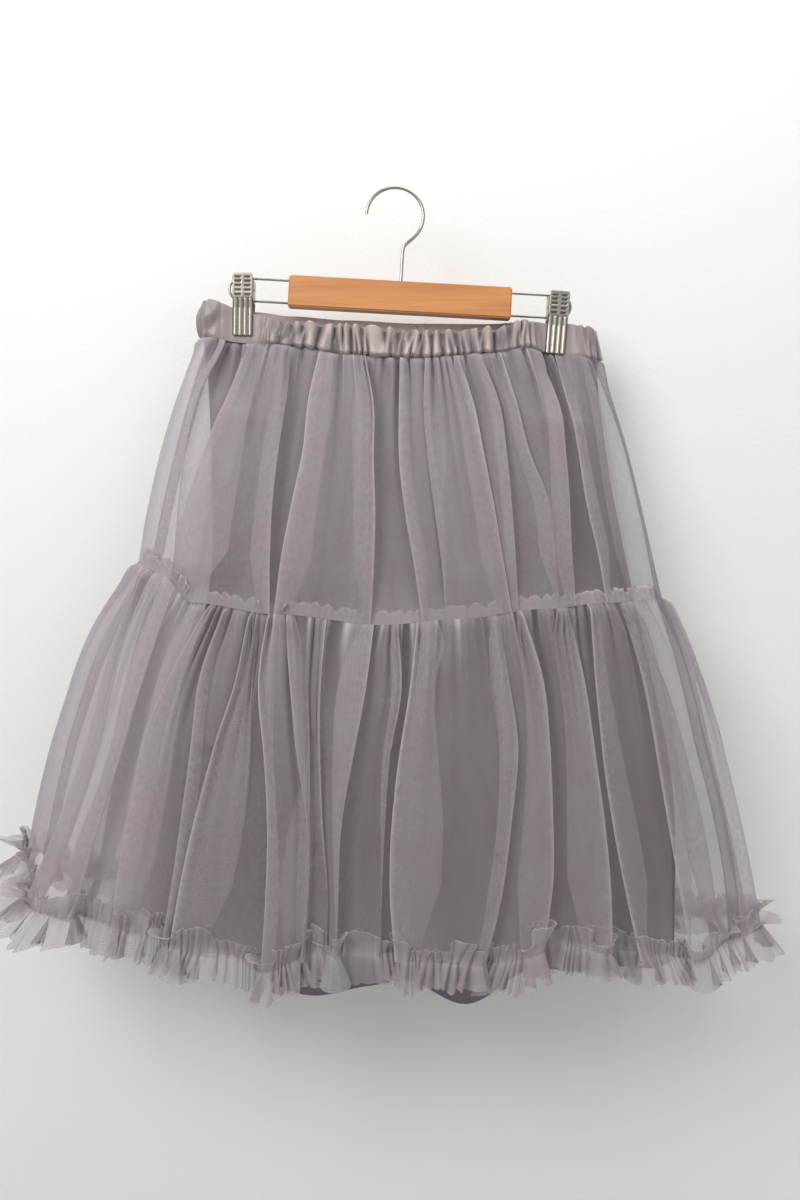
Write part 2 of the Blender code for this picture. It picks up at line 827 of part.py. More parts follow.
def clip_plate(name, facing, material):
    """A pressed plate with upright flutes, facing -1 in front and +1 behind."""
    across = CLIP_FLUTES * CLIP_FLUTE_COLUMNS
    outer = []
    inner = []
    inner_rows = clip_plate_rows(0.0)
    outer_rows = clip_plate_rows(CLIP_PLATE)
    for (z, y_in), (_, y_out) in zip(inner_rows, outer_rows):
        inner_points = []
        outer_points = []
        for step in range(across + 1):
            part = step / across
            x = blend(-0.5, 0.5, part) * CLIP_WIDTH
            flute = 0.5 - 0.5 * math.cos(2.0 * math.pi * part * CLIP_FLUTES)
            raise_by = flute * CLIP_FLUTE_DEPTH
            inner_points.append(Vector((x, facing * y_in, z)))
            outer_points.append(Vector((x, facing * (y_out + raise_by), z)))
        inner.append(inner_points)
        outer.append(outer_points)
    return cloth_wall(name, outer, inner, False, material)


def bend_slot(clip, side, hang):
    """A hidden block that opens a clip's outer cheek for the bend of its rod."""
    half_wire = ROD_WIRE * 0.5 + WIRE_GAP
    bottom = -ROD_SPREAD * 0.5 - half_wire
    near = ROD_REACH - 0.012
    far = ROD_REACH + 0.006
    height = ROD_SPREAD + 0.010
    bm = bmesh.new()
    centre = (side * (near + far) * 0.5, 0.0, bottom + height * 0.5)
    add_box(bm, (far - near, half_wire * 2.0, height), centre)
    mesh = bpy.data.meshes.new(clip.name + "_slot_guide")
    bm.to_mesh(mesh)
    bm.free()
    guide = bpy.data.objects.new(mesh.name, mesh)
    guide.matrix_world = hang
    guide.hide_render = True
    guide.display_type = "WIRE"
    bpy.context.scene.collection.objects.link(guide)
    return guide


def make_clips(nickel):
    """Sprung clips on the rods: a channel behind, a plate in front, a pin between."""
    hang = tilt_matrix()
    for clip in CLIPS:
        place = Matrix.Translation((clip.x, 0.0, clip.z))
        place = place @ Matrix.Rotation(math.radians(clip.tilt), 4, "Y")
        tilt = (0.0, math.radians(clip.tilt), 0.0)
        half = CLIP_HEIGHT * 0.5
        pin_z = half - 0.0125
        side = -1.0 if clip.x < 0.0 else 1.0

        front = clip_plate(clip.name + "_front", -1.0, nickel)
        back = clip_plate(clip.name + "_back", 1.0, nickel)
        for item in (front, back):
            item.location = (clip.x, 0.0, clip.z)
            item.rotation_euler = tilt

        cheek_x = CLIP_WIDTH * 0.5 - CLIP_CHEEK * 0.5
        ear_x = cheek_x - CLIP_CHEEK - SEAM_GAP
        parts = (
            (back, cheek_x, CLIP_CHEEK_HEIGHT, -0.0045, 0.0090),
            (front, ear_x, 0.0060, -0.0093, 0.0026),
        )
        for item, x, height, near, far in parts:
            middle_z = half - CLIP_CHEEK_DROP - height * 0.5 if item is back else pin_z
            for end in (-1.0, 1.0):
                bm = bmesh.new()
                centre = (end * x, (near + far) * 0.5, middle_z)
                add_box(bm, (CLIP_CHEEK, far - near, height), centre)
                cheek = build_object(item.name + "_cheek_guide", bm, nickel)
                cheek.location = item.location
                cheek.rotation_euler = item.rotation_euler
                cheek.hide_render = True
                cheek.display_type = "WIRE"
                join = item.modifiers.new("cheek", "BOOLEAN")
                join.operation = "UNION"
                join.object = cheek

        pin_half = CLIP_WIDTH * 0.5 + 0.0006
        pin_start = place @ Vector((-pin_half, 0.0, pin_z))
        pin_end = place @ Vector((pin_half, 0.0, pin_z))
        reach = (pin_end - pin_start).normalized() * 0.004
        hole = boring_guide(
            clip.name + "_pin_guide",
            CLIP_PIN * 0.5 + WIRE_GAP,
            pin_start - reach,
            pin_end + reach,
        )
        bore(back, hole)
        bore(front, hole)
        rod_z = -ROD_SPREAD * 0.5
        rod_hole = boring_guide(
            clip.name + "_rod_guide",
            ROD_WIRE * 0.5 + WIRE_GAP,
            hang @ Vector((side * (BAR_LENGTH * 0.5 + 0.005), 0.0, rod_z)),
            hang @ Vector((side * (ROD_REACH - 0.012), 0.0, rod_z)),
        )
        bore(back, rod_hole)
        bore(back, bend_slot(clip, side, hang))

        pin = wire_object(clip.name + "_pin", [pin_start, pin_end], CLIP_PIN, nickel)
        pin.data.bevel_resolution = 3


def build():
    clear_scene()
    satin = make_material("waistband_satin", MAUVE_SATIN, 0.42)
    lining = make_material("lining_satin", MAUVE_LINING, 0.50)
    tulle = make_material("tulle", MAUVE_TULLE, 0.85)
    wood = make_material("varnished_wood", WOOD, 0.40)
    nickel = make_material("nickel_plate", NICKEL, 0.28, metallic=1.0)
    make_waistband(satin)
    make_lining(lining)
    make_upper_tier(tulle)
    make_lower_tier(tulle)
    make_ruffle(tulle)
    make_hanger(wood, nickel)
    make_clips(nickel)


build()
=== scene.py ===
import math
import bmesh
import bpy
import numpy as np
from mathutils import Matrix, Vector


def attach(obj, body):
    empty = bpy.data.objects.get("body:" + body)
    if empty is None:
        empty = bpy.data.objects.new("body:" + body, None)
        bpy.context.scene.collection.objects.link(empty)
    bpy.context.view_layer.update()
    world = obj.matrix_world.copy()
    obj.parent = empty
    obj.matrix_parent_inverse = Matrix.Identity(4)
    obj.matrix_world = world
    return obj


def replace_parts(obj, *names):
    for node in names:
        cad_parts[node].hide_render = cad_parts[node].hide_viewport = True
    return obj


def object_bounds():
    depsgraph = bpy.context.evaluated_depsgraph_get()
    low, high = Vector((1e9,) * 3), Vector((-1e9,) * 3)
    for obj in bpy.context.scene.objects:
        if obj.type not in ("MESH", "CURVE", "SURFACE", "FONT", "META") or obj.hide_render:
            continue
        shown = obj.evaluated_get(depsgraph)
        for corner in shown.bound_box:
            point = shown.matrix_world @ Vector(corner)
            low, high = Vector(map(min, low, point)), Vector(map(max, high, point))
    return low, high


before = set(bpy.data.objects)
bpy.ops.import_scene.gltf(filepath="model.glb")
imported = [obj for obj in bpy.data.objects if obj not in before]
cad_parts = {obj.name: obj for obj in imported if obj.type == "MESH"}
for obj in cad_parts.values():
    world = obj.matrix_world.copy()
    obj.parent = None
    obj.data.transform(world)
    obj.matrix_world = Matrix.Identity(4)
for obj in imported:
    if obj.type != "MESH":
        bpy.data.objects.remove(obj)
cad_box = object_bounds()

# Camera, wall, floor and light
# The skirt hangs on a pale wall. The camera stands square to it, a little under a metre
# away. The daylight is soft and comes from above, so the wall is brightest at the top.
CAMERA_PLACE = (0.0046, -0.95, -0.3777)
CAMERA_LENS = 31.0
WALL_GAP = 0.014
WALL_REACH = 3
WALL_TOP = 2
FLOOR_BELOW = 0.62
FLOOR_REACH = 4
WALL_WHITE = "F0F0EF"
FLOOR_GREY = "DADAD8"
AIR_WHITE = "F4F4F2"
AIR_LIGHT = 0.36
# Many layers of net lie one behind the other
CLEAR_LAYERS = 28

# Each light: name, place, aim, size, watts, colour
LIGHTS = (
    ("window", (-0.95, -1.40, 0.60), (-0.05, 0.0, -0.45), 0.9, 21.0, "FFFEFB"),
    ("room", (1.30, -1.60, -0.10), (0.0, 0.0, -0.45), 1.6, 6.0, "FBFDFF"),
    ("ceiling", (0.22, -0.50, 0.95), (0.15, 0.05, 0.10), 0.9, 8.0, "FFFFFF"),
    ("behind", (-0.30, 1.50, 0.35), (0.0, 0.0, -0.40), 1.4, 7.0, "FFFFFF"),
)


def linear(hex_text):
    """A linear colour from an sRGB hex text."""
    channels = [int(hex_text[place:place + 2], 16) / 255.0 for place in (0, 2, 4)]
    return tuple(c / 12.92 if c < 0.04045 else ((c + 0.055) / 1.055) ** 2.4 for c in channels) + (1.0,)


def add_node(tree, kind, inputs=None, **settings):
    """A node with its settings, and with its inputs set or linked by name or number.

    A node among the inputs is linked by its first output.
    """
    node = tree.nodes.new(kind)
    for name, value in settings.items():
        setattr(node, name, value)
    for name, value in (inputs or {}).items():
        if isinstance(value, bpy.types.Node):
            value = value.outputs[0]
        if isinstance(value, bpy.types.NodeSocket):
            tree.links.new(value, node.inputs[name])
        else:
            node.inputs[name].default_value = value
    return node


def empty_material(name):
    """A material without nodes, and its node tree."""
    material = bpy.data.materials.new(name)
    material.use_nodes = True
    material.node_tree.nodes.clear()
    return material, material.node_tree


def end_material(material, shader):
    add_node(material.node_tree, "ShaderNodeOutputMaterial", {"Surface": shader})
    return material


def placed(name, data):
    """A new object in the scene, at the origin."""
    item = bpy.data.objects.new(name, data)
    bpy.context.scene.collection.objects.link(item)
    return item


def flat_sheet(name, corners, material):
    mesh = bpy.data.meshes.new(name)
    mesh.from_pydata(corners, [], [(0, 1, 2, 3)])
    mesh.materials.append(material)
    sheet = placed(name, mesh)
    return sheet


# Painted plaster: matt off-white with a faint roller texture. It shows from the front alone.
wall_paint, tree = empty_material("wall_paint")
place = add_node(tree, "ShaderNodeTexCoord").outputs["Object"]
roller = add_node(tree, "ShaderNodeTexNoise", {"Vector": place, "Scale": 260.0, "Detail": 3.0})
relief = add_node(tree, "ShaderNodeBump", {"Height": roller, "Distance": 0.0006, "Strength": 0.5})
paint = add_node(tree, "ShaderNodeBsdfPrincipled",
                 {"Base Color": linear(WALL_WHITE), "Roughness": 0.9, "Normal": relief})
clear = add_node(tree, "ShaderNodeBsdfTransparent")
side = add_node(tree, "ShaderNodeNewGeometry").outputs["Backfacing"]
end_material(wall_paint, add_node(tree, "ShaderNodeMixShader", {0: side, 1: paint, 2: clear}))
# Floor paint: plain matt grey
floor_paint, tree = empty_material("floor_paint")
paint = {"Base Color": linear(FLOOR_GREY), "Roughness": 0.8}
end_material(floor_paint, add_node(tree, "ShaderNodeBsdfPrincipled", paint))

wall_y = cad_box[1][1] + WALL_GAP
floor_z = cad_box[0][2] - FLOOR_BELOW
wall = flat_sheet("wall", [(-WALL_REACH, wall_y, floor_z), (WALL_REACH, wall_y, floor_z),
                           (WALL_REACH, wall_y, WALL_TOP), (-WALL_REACH, wall_y, WALL_TOP)], wall_paint)
# The wall stops no light, so that the skirt's back is lit too
wall.visible_shadow = False
corners = ((-1, -1), (1, -1), (1, 1), (-1, 1))
flat_sheet("floor", [(FLOOR_REACH * x, FLOOR_REACH * y, floor_z) for x, y in corners], floor_paint)

camera_data = bpy.data.cameras.new("camera")
camera_data.lens = CAMERA_LENS
camera_data.sensor_width = 36.0
camera_data.clip_start = 0.01
camera = placed("camera", camera_data)
camera.location = CAMERA_PLACE
camera.rotation_euler = (math.pi / 2.0, 0.0, 0.0)
bpy.context.scene.camera = camera

for name, start, aim, size, watts, tint in LIGHTS:
    light_data = bpy.data.lights.new(name, "AREA")
    light_data.size = size
    light_data.energy = watts
    light_data.color = linear(tint)[:3]
    light = placed(name, light_data)
    light.location = start
    light.rotation_euler = (Vector(aim) - Vector(start)).to_track_quat("-Z", "Y").to_euler()

world = bpy.data.worlds.new("room_air")
world.use_nodes = True
world.node_tree.nodes["Background"].inputs["Color"].default_value = linear(AIR_WHITE)
world.node_tree.nodes["Background"].inputs["Strength"].default_value = AIR_LIGHT
bpy.context.scene.world = world
bpy.context.scene.cycles.transparent_max_bounces = CLEAR_LAYERS
# Plain tones, so that a colour shows as its sRGB value
bpy.context.scene.view_settings.view_transform = "Standard"

# Lining
# Two plain panels of thin mauve satin, sewn up the sides and gathered into the waistband.
# They hang as a slim A-line under the net, in a few soft upright folds, with a turned hem.
SQUARENESS = 2.5
CLIP_PLACES = ((-0.1389, -0.1082, 1.0), (0.1482, -0.1248, 4.6))
PINCH_HALF_GAP = 0.0043
PINCH_FLAT = 0.0115
PINCH_FADE = 0.0260
# Each ring: share of the way down, then left, right, y of the sides, of the front, of the back
LINING_RINGS = (
    (0.00, 0.1785, 0.1875, 0.000, -0.0205, 0.0140),
    (0.22, 0.1745, 0.2050, -0.003, -0.0260, 0.0110),
    (0.45, 0.1785, 0.2310, -0.012, -0.0390, 0.0088),
    (0.70, 0.2160, 0.2600, -0.020, -0.0540, 0.0072),
    (1.00, 0.2500, 0.2640, -0.030, -0.0760, 0.0060),
)
# Each edge: share across, z at the front, z at the back
BAND_BOTTOM_EDGE = (
    (-1.00, -0.1380, -0.1380), (-0.74, -0.1432, -0.1375), (-0.50, -0.1490, -0.1410),
    (-0.25, -0.1570, -0.1450), (0.12, -0.1600, -0.1480), (0.48, -0.1550, -0.1485),
    (0.65, -0.1490, -0.1480), (0.84, -0.1542, -0.1542), (1.00, -0.1590, -0.1590),
)
LINING_HEM = (
    (-1.00, -0.6500, -0.6500), (-0.60, -0.6860, -0.6780), (-0.25, -0.7170, -0.6950),
    (0.02, -0.7040, -0.7000), (0.22, -0.7210, -0.7020), (0.45, -0.6960, -0.7020),
    (1.00, -0.6960, -0.6960),
)
LINING_CUT = (1.10, 0.56)
LINING_MAUVE = "6E6771"
# Each crest of the lining: place round it in thousandths, width, and how far it stands out
LINING_CRESTS = (
    (-730, 120, 1.0), (-400, 130, 1.0), (-60, 60, 0.5), (260, 150, 1.0), (600, 75, 0.9), (840, 90, 0.9),
    (1230, 130, 0.9), (1560, 120, 1.0), (1900, 150, 0.9), (2280, 130, 1.0), (2620, 120, 0.9), (2900, 80, 0.7),
)
LINING_ROWS = 72
LINING_COLUMNS = 260
LINING_INSIDE = 0.0022
LINING_VALLEY = 0.0150
LINING_GATHER = 0.0016
# Places round the skirt where the panels start and end
LINING_SPANS = {"front": (-1.03, 0.93), "back": (0.93, 2.97)}


def ease(part):
    part = np.clip(part, 0.0, 1.0)
    return part * part * (3.0 - 2.0 * part)


def soft_between(places, values, at):
    """Values read from a smooth curve through the rows of a short table."""
    places = np.asarray(places, float)
    values = np.asarray(values, float)
    slopes = np.gradient(values, places, axis=0)
    at = np.clip(np.asarray(at, float), places[0], places[-1])
    low = np.clip(np.searchsorted(places, at, side="right") - 1, 0, len(places) - 2)
    gap = places[low + 1] - places[low]
    t = (at - places[low]) / gap
    if values.ndim > 1:
        t = t[..., None]
        gap = gap[..., None]
    return ((2 * t ** 3 - 3 * t ** 2 + 1) * values[low] + (t ** 3 - 2 * t ** 2 + t) * gap * slopes[low]
            + (3 * t ** 2 - 2 * t ** 3) * values[low + 1] + (t ** 3 - t ** 2) * gap * slopes[low + 1])


def turn_angle(place):
    """Angle of a place round the skirt: -1 is its left side, 0 its front, 1 its right, 2 its back."""
    place = np.asarray(place, float)
    at_left = place < -1.0
    at_back = place > 1.0
    across = np.where(at_left, -2.0 - place, np.where(at_back, 2.0 - place, place))
    angle = np.arccos(np.clip(np.copysign(np.abs(across) ** (SQUARENESS / 2.0), across), -1.0, 1.0))
    return np.where(at_left, 2.0 * math.pi - angle, np.where(at_back, -angle, angle))


def edge_height(edge, across, at_back):
    table = np.array(edge)
    low = np.clip(np.searchsorted(table[:, 0], across, side="right") - 1, 0, len(table) - 2)
    part = ease((across - table[low, 0]) / (table[low + 1, 0] - table[low, 0]))
    column = np.where(at_back, 2, 1)
    return table[low, column] * (1.0 - part) + table[low + 1, column] * part


def clip_pinch(x):
    nearest = np.min([np.abs(x - clip[0]) for clip in CLIP_PLACES], axis=0)
    return 1.0 - ease((nearest - PINCH_FLAT) / PINCH_FADE)


def run_lengths(points):
    """How far along a line of points each of them is."""
    steps = np.linalg.norm(np.diff(points, axis=0), axis=1)
    return np.concatenate([[0.0], np.cumsum(steps)])


def points_at(line, lengths, at):
    """Points of a line, or other rows of three numbers on it, read at lengths along it."""
    return np.stack([np.interp(at, lengths, line[:, axis]) for axis in range(3)], axis=-1)


def directions(line):
    """Level directions at each point of a line round the skirt: along it, and out from it."""
    along = np.gradient(line[:, :2], axis=0)
    along /= np.maximum(np.linalg.norm(along, axis=1, keepdims=True), 1e-9)
    level = np.zeros(len(line))
    return [np.stack([x, y, level], axis=1) for x, y in (along.T, (along[:, 1], -along[:, 0]))]


def ring_line(rings, share, angles, high_edge, low_edge, pinch):
    """Points and outward directions at angles round the skirt, at one share of the way down."""
    left, right, sides, front, back = soft_between([r[0] for r in rings], [r[1:] for r in rings], share)
    cosine = np.cos(angles)
    across = np.copysign(np.abs(cosine) ** (2.0 / SQUARENESS), cosine)
    at_back = np.sin(angles) < 0.0
    away = np.abs(np.sin(angles)) ** (2.0 / SQUARENESS)
    x = across * np.where(across > 0.0, right, left)
    outer = np.where(at_back, back, front)
    y = sides + (outer - sides) * away
    y += (np.copysign(PINCH_HALF_GAP, outer) - y) * pinch * clip_pinch(x) * np.minimum(1.0, away * 1.6)
    high = edge_height(high_edge, across, at_back)
    low = edge_height(low_edge, across, at_back)
    points = np.stack([x, y, high + (low - high) * share], axis=1)
    return points, directions(points)[1]


def soft_noise(at, step, seed, octaves=1):
    """Smooth random numbers from -1 to 1 along a line, changing once in each step."""
    total = np.zeros_like(np.asarray(at, float))
    for octave in range(octaves):
        chance = np.random.default_rng(seed + 31 * octave)
        knots = chance.uniform(-1.0, 1.0, 4096)
        place = np.asarray(at, float) / step * 2 ** octave + 977.3
        whole = np.floor(place).astype(int)
        part = ease(place - whole)
        total += (knots[whole % 4096] * (1.0 - part) + knots[(whole + 1) % 4096] * part) / 2 ** octave
    return total


def cloth_sheet(name, rows, cloth_across, cloth_down, material, marks, node=None):
    """A sheet of cloth through rows of points, with its own metres as its UV map.

    Node is the solid that it stands for, and marks are numbers at its points.
    """
    rows = np.asarray(rows)
    count_down, count_across = rows.shape[:2]
    index = np.arange(count_down * count_across).reshape(count_down, count_across)
    faces = np.stack([index[:-1, :-1], index[1:, :-1], index[1:, 1:], index[:-1, 1:]], axis=-1).reshape(-1, 4)
    mesh = bpy.data.meshes.new(name)
    mesh.vertices.add(rows.shape[0] * rows.shape[1])
    mesh.vertices.foreach_set("co", rows.reshape(-1).astype(np.float32))
    mesh.loops.add(faces.size)
    mesh.loops.foreach_set("vertex_index", faces.reshape(-1).astype(np.int32))
    mesh.polygons.add(len(faces))
    mesh.polygons.foreach_set("loop_start", np.arange(0, faces.size, 4, dtype=np.int32))
    mesh.update(calc_edges=True)
    uv = np.stack(np.broadcast_arrays(cloth_across, cloth_down), axis=-1).reshape(-1, 2)
    layer = mesh.uv_layers.new(name="UVMap")
    layer.data.foreach_set("uv", uv[faces.reshape(-1)].reshape(-1).astype(np.float32))
    for label, values in marks.items():
        values = np.broadcast_to(values, rows.shape[:2]).reshape(-1)
        mesh.attributes.new(label, "FLOAT", "POINT").data.foreach_set("value", values.astype(np.float32))
    mesh.materials.append(material)
    mesh.shade_smooth()
    sheet = placed(name, mesh)
    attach(sheet, "root")
    if node:
        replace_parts(sheet, node)


def satin_cloth(name, colour, roughness, ribs):
    """Satin: a close weave with long smooth floats, so its gloss runs across the folds."""
    material, tree = empty_material(name)
    cloth = add_node(tree, "ShaderNodeUVMap", uv_map="UVMap")
    weave_place = add_node(tree, "ShaderNodeMapping", {"Vector": cloth, "Scale": (2600.0, 700.0, 1.0)})
    weave = add_node(tree, "ShaderNodeTexNoise", {"Vector": weave_place, "Scale": 1.0, "Detail": 2.0})
    crush_place = add_node(tree, "ShaderNodeMapping", {"Vector": cloth, "Scale": (ribs, ribs * 0.28, 1.0)})
    crush = add_node(tree, "ShaderNodeTexNoise", {"Vector": crush_place, "Scale": 1.0, "Detail": 4.0})
    heights = add_node(tree, "ShaderNodeMath", {0: weave, 1: 0.16}, operation="MULTIPLY")
    heights = add_node(tree, "ShaderNodeMath", {0: heights, 1: crush}, operation="ADD")
    relief = add_node(tree, "ShaderNodeBump", {"Height": heights, "Distance": 0.0012, "Strength": 0.55})
    # Painted highlight and shade: the colour is lighter where the crush stands up and darker in its hollows
    dark, light = [tuple(c * shade for c in linear(colour)[:3]) + (1.0,) for shade in (0.86, 1.14)]
    tint = add_node(tree, "ShaderNodeMix", {0: crush, 6: dark, 7: light}, data_type="RGBA").outputs[2]
    # Painted shade darkens the colour down in a deep gather, where less light comes back out, and a painted
    # highlight lightens it along a sharp crest, where the long floats shine
    for mark, colour_there in (("valley", "463E42"), ("ridge", "C4B6B2")):
        share = add_node(tree, "ShaderNodeAttribute", attribute_name=mark).outputs["Fac"]
        tint = add_node(tree, "ShaderNodeMix", {0: share, 6: tint, 7: linear(colour_there)},
                        data_type="RGBA").outputs[2]
    shader = add_node(tree, "ShaderNodeBsdfPrincipled", {
        "Base Color": tint, "Roughness": roughness, "Anisotropic": 0.35,
        "Sheen Weight": 0.35, "Sheen Roughness": 0.4, "Normal": relief,
    })
    return end_material(material, shader)


# Lining satin: mauve-grey and darker than the net, with a dull gloss and soft broad ribs
lining_satin = satin_cloth("lining_satin", LINING_MAUVE, 0.46, 55.0)
for part_name, (start, end) in LINING_SPANS.items():
    turns = np.linspace(start, end, LINING_COLUMNS)
    angles = turn_angle(turns)
    rows = []
    for share in np.linspace(0.0, 1.0, LINING_ROWS):
        points, outward = ring_line(LINING_RINGS, share, angles, BAND_BOTTOM_EDGE, LINING_HEM,
                                    max(0.0, 1.0 - share / 0.12))
        drift = 0.012 * math.sin(4.0 * share)
        crest = sum(height * np.exp(-((turns + drift - place / 1000.0) / (width / 1000.0)) ** 2)
                    for place, width, height in LINING_CRESTS)
        gather = soft_noise(angles, 0.035, 5) * LINING_GATHER * math.exp(-share / 0.06)
        depth = LINING_VALLEY * share ** 0.6 * (1.0 - np.minimum(crest, 1.0))
        rows.append(points - outward * (LINING_INSIDE + depth - gather)[:, None])
    down = np.linspace(0.0, LINING_CUT[1], LINING_ROWS)[:, None]
    node = "lining_" + part_name
    cloth_sheet(node + "_satin", rows, run_lengths(rows[-1])[None, :], down, lining_satin, {},
                node)

# Waistband
# One strip of satin folded double round a hidden elastic and stitched along its lower edge.
# The elastic draws it into sharp upright gathers, which are pressed flat under each clip.
BAND_TOP_RING = (0.173, 0.183, 0.0, -0.0180, 0.0120)
BAND_BOTTOM_RING = (0.178, 0.187, 0.0, -0.0205, 0.0140)
BAND_TOP_EDGE = (
    (-1.00, -0.1030, -0.1030), (-0.74, -0.1165, -0.1125), (-0.55, -0.1280, -0.1145),
    (-0.25, -0.1310, -0.1180), (0.12, -0.1364, -0.1210), (0.48, -0.1340, -0.1215),
    (0.65, -0.1250, -0.1200), (0.84, -0.1247, -0.1247), (1.00, -0.1300, -0.1300),
)
BAND_CUT = (1.05, 0.060)
BAND_MAUVE = "998E8E"
BAND_ROWS = 26
BAND_COLUMNS = 1601
BAND_INNER_ROWS = 5
TOP_GATHER = 0.0118
LOW_GATHER = 0.0095
TOP_DEPTH = 0.0068
LOW_DEPTH = 0.0058
# The elastic has slipped along, so that the left end is slack and the rest is drawn up
SLACK_X = -0.150
SLACK_REACH = 0.045
SLACK_BULGE = 0.0034
# Waistband satin: pale mauve with a clear soft gloss and narrow crushed ribs
band_satin = satin_cloth("waistband_satin", BAND_MAUVE, 0.34, 120.0)


def gathers(at, width, seed):
    """Leaning gathers of uneven width, 1 on each crest and 0 in each valley."""
    phase = at / width + 1.1 * soft_noise(at, width * 2.3, seed)
    own = np.floor(phase).astype(int) % 1999
    peak = np.random.default_rng(seed).uniform(0.22, 0.78, 1999)[own]
    part = phase % 1.0
    climb = np.minimum(part / peak, (1.0 - part) / (1.0 - peak))
    return 1.0 - (1.0 - climb) ** 1.7


angles = turn_angle(np.linspace(-1.0, 3.0, BAND_COLUMNS))
shares = np.linspace(0.0, 1.0, BAND_ROWS)
band_rings = ((0.0,) + BAND_TOP_RING, (1.0,) + BAND_BOTTOM_RING)
middle_line, _ = ring_line(band_rings, 0.5, angles, BAND_TOP_EDGE, BAND_BOTTOM_EDGE, 1.0)
lengths = run_lengths(middle_line)
slack = np.exp(-((middle_line[:, 0] - SLACK_X) / SLACK_REACH) ** 2)
from_top = gathers(lengths, TOP_GATHER, 43)
from_below = gathers(lengths + 0.004, LOW_GATHER, 47)
top_depth = TOP_DEPTH * (1.0 + 0.6 * soft_noise(lengths, 0.013, 51)) * (1.0 - 0.7 * slack)
low_depth = LOW_DEPTH * (1.0 + 0.6 * soft_noise(lengths, 0.010, 53)) * (1.0 - 0.5 * slack)
free = 1.0 - 0.96 * clip_pinch(middle_line[:, 0])
# The inside of the casing, joined to the outside at the top fold
rows = []
for share in np.linspace(1.0, 0.0, BAND_INNER_ROWS):
    points, outward = ring_line(band_rings, share, angles, BAND_TOP_EDGE, BAND_BOTTOM_EDGE, 1.0)
    rows.append(points - outward * (0.0030 if share > 0.0 else 0.0018))
valleys = [np.zeros(BAND_COLUMNS)] * BAND_INNER_ROWS
ridges = list(valleys)

for share in shares:
    lean = soft_noise(lengths, 0.016, 55) * 0.0060 * (share - 0.5)
    points, outward = ring_line(band_rings, share, angles, BAND_TOP_EDGE, BAND_BOTTOM_EDGE, 1.0)
    high = np.interp(lengths + lean, lengths, from_top * top_depth) * (1.0 - 0.75 * ease(share * 1.25))
    low = np.interp(lengths + lean, lengths, from_below * low_depth) * (0.15 + 0.85 * ease(share * 1.2 - 0.1))
    bulge = 1.0 + 1.3 * soft_noise(lengths + 0.03 * share, 0.013, 57)
    bulge = bulge * SLACK_BULGE * slack * math.sin(math.pi * share)
    crush = (0.0006 + 0.0007 * slack) * soft_noise(lengths + share * 0.009, 0.0045, 59)
    tuck = 1.0 - 0.7 * ease((share - 0.90) / 0.10)
    stand = (high + low + bulge) * tuck + crush
    points = points + outward * (-0.0012 + stand * free + 0.0022 * (1.0 - free))[:, None]
    # Marks for the satin's painted shade in the gathers' valleys and its painted highlight along their crests
    sunk = np.clip(1.0 - (high + low) / 0.0052, 0.0, 1.0)
    valleys.append(sunk ** 1.1 * free * (1.0 - 0.8 * slack))
    ridges.append(0.85 * np.clip((high + low) / 0.0042 - 0.9, 0.0, 1.0) * free)
    points[:, 2] += (from_top - 0.6) * 0.0032 * free * (1.0 - share) ** 2 * (1.0 - slack)
    points[:, 2] -= (from_below - 0.5) * 0.0026 * free * share ** 2
    rows.append(points)
down = np.concatenate([np.linspace(-1.0, 0.0, BAND_INNER_ROWS), shares]) * BAND_CUT[1] * 0.5
cloth_sheet("waistband_satin", rows, lengths[None, :] * 1.2, down[:, None], band_satin,
            {"valley": np.array(valleys), "ridge": np.array(ridges)},
            "waistband")
band_face = rows[-2]

# Upper tier
# Two panels of soft nylon net gathered into the waistband. The gathers run out into long folds that lap over
# each other. Where the net turns back it lies double, as a pale line, and a painted highlight makes that line
# paler.
UPPER_RINGS = (
    (0.00, 0.1785, 0.1875, 0.000, -0.0205, 0.0140),
    (0.33, 0.2000, 0.2110, -0.006, -0.0430, 0.0235),
    (0.67, 0.2170, 0.2270, -0.014, -0.0590, 0.0265),
    (1.00, 0.2300, 0.2395, -0.022, -0.0680, 0.0275),
)
TIER_SEAM = (
    (-1.00, -0.3440, -0.3440), (-0.87, -0.3570, -0.3560), (-0.76, -0.3800, -0.3640),
    (-0.43, -0.3900, -0.3780), (-0.04, -0.3990, -0.3850), (0.22, -0.3940, -0.3870),
    (0.53, -0.3855, -0.3860), (0.76, -0.3800, -0.3820), (1.00, -0.3760, -0.3760),
)
FOLD_LEVELS = (0.0, 0.2, 0.4, 0.6, 0.8, 1.0)
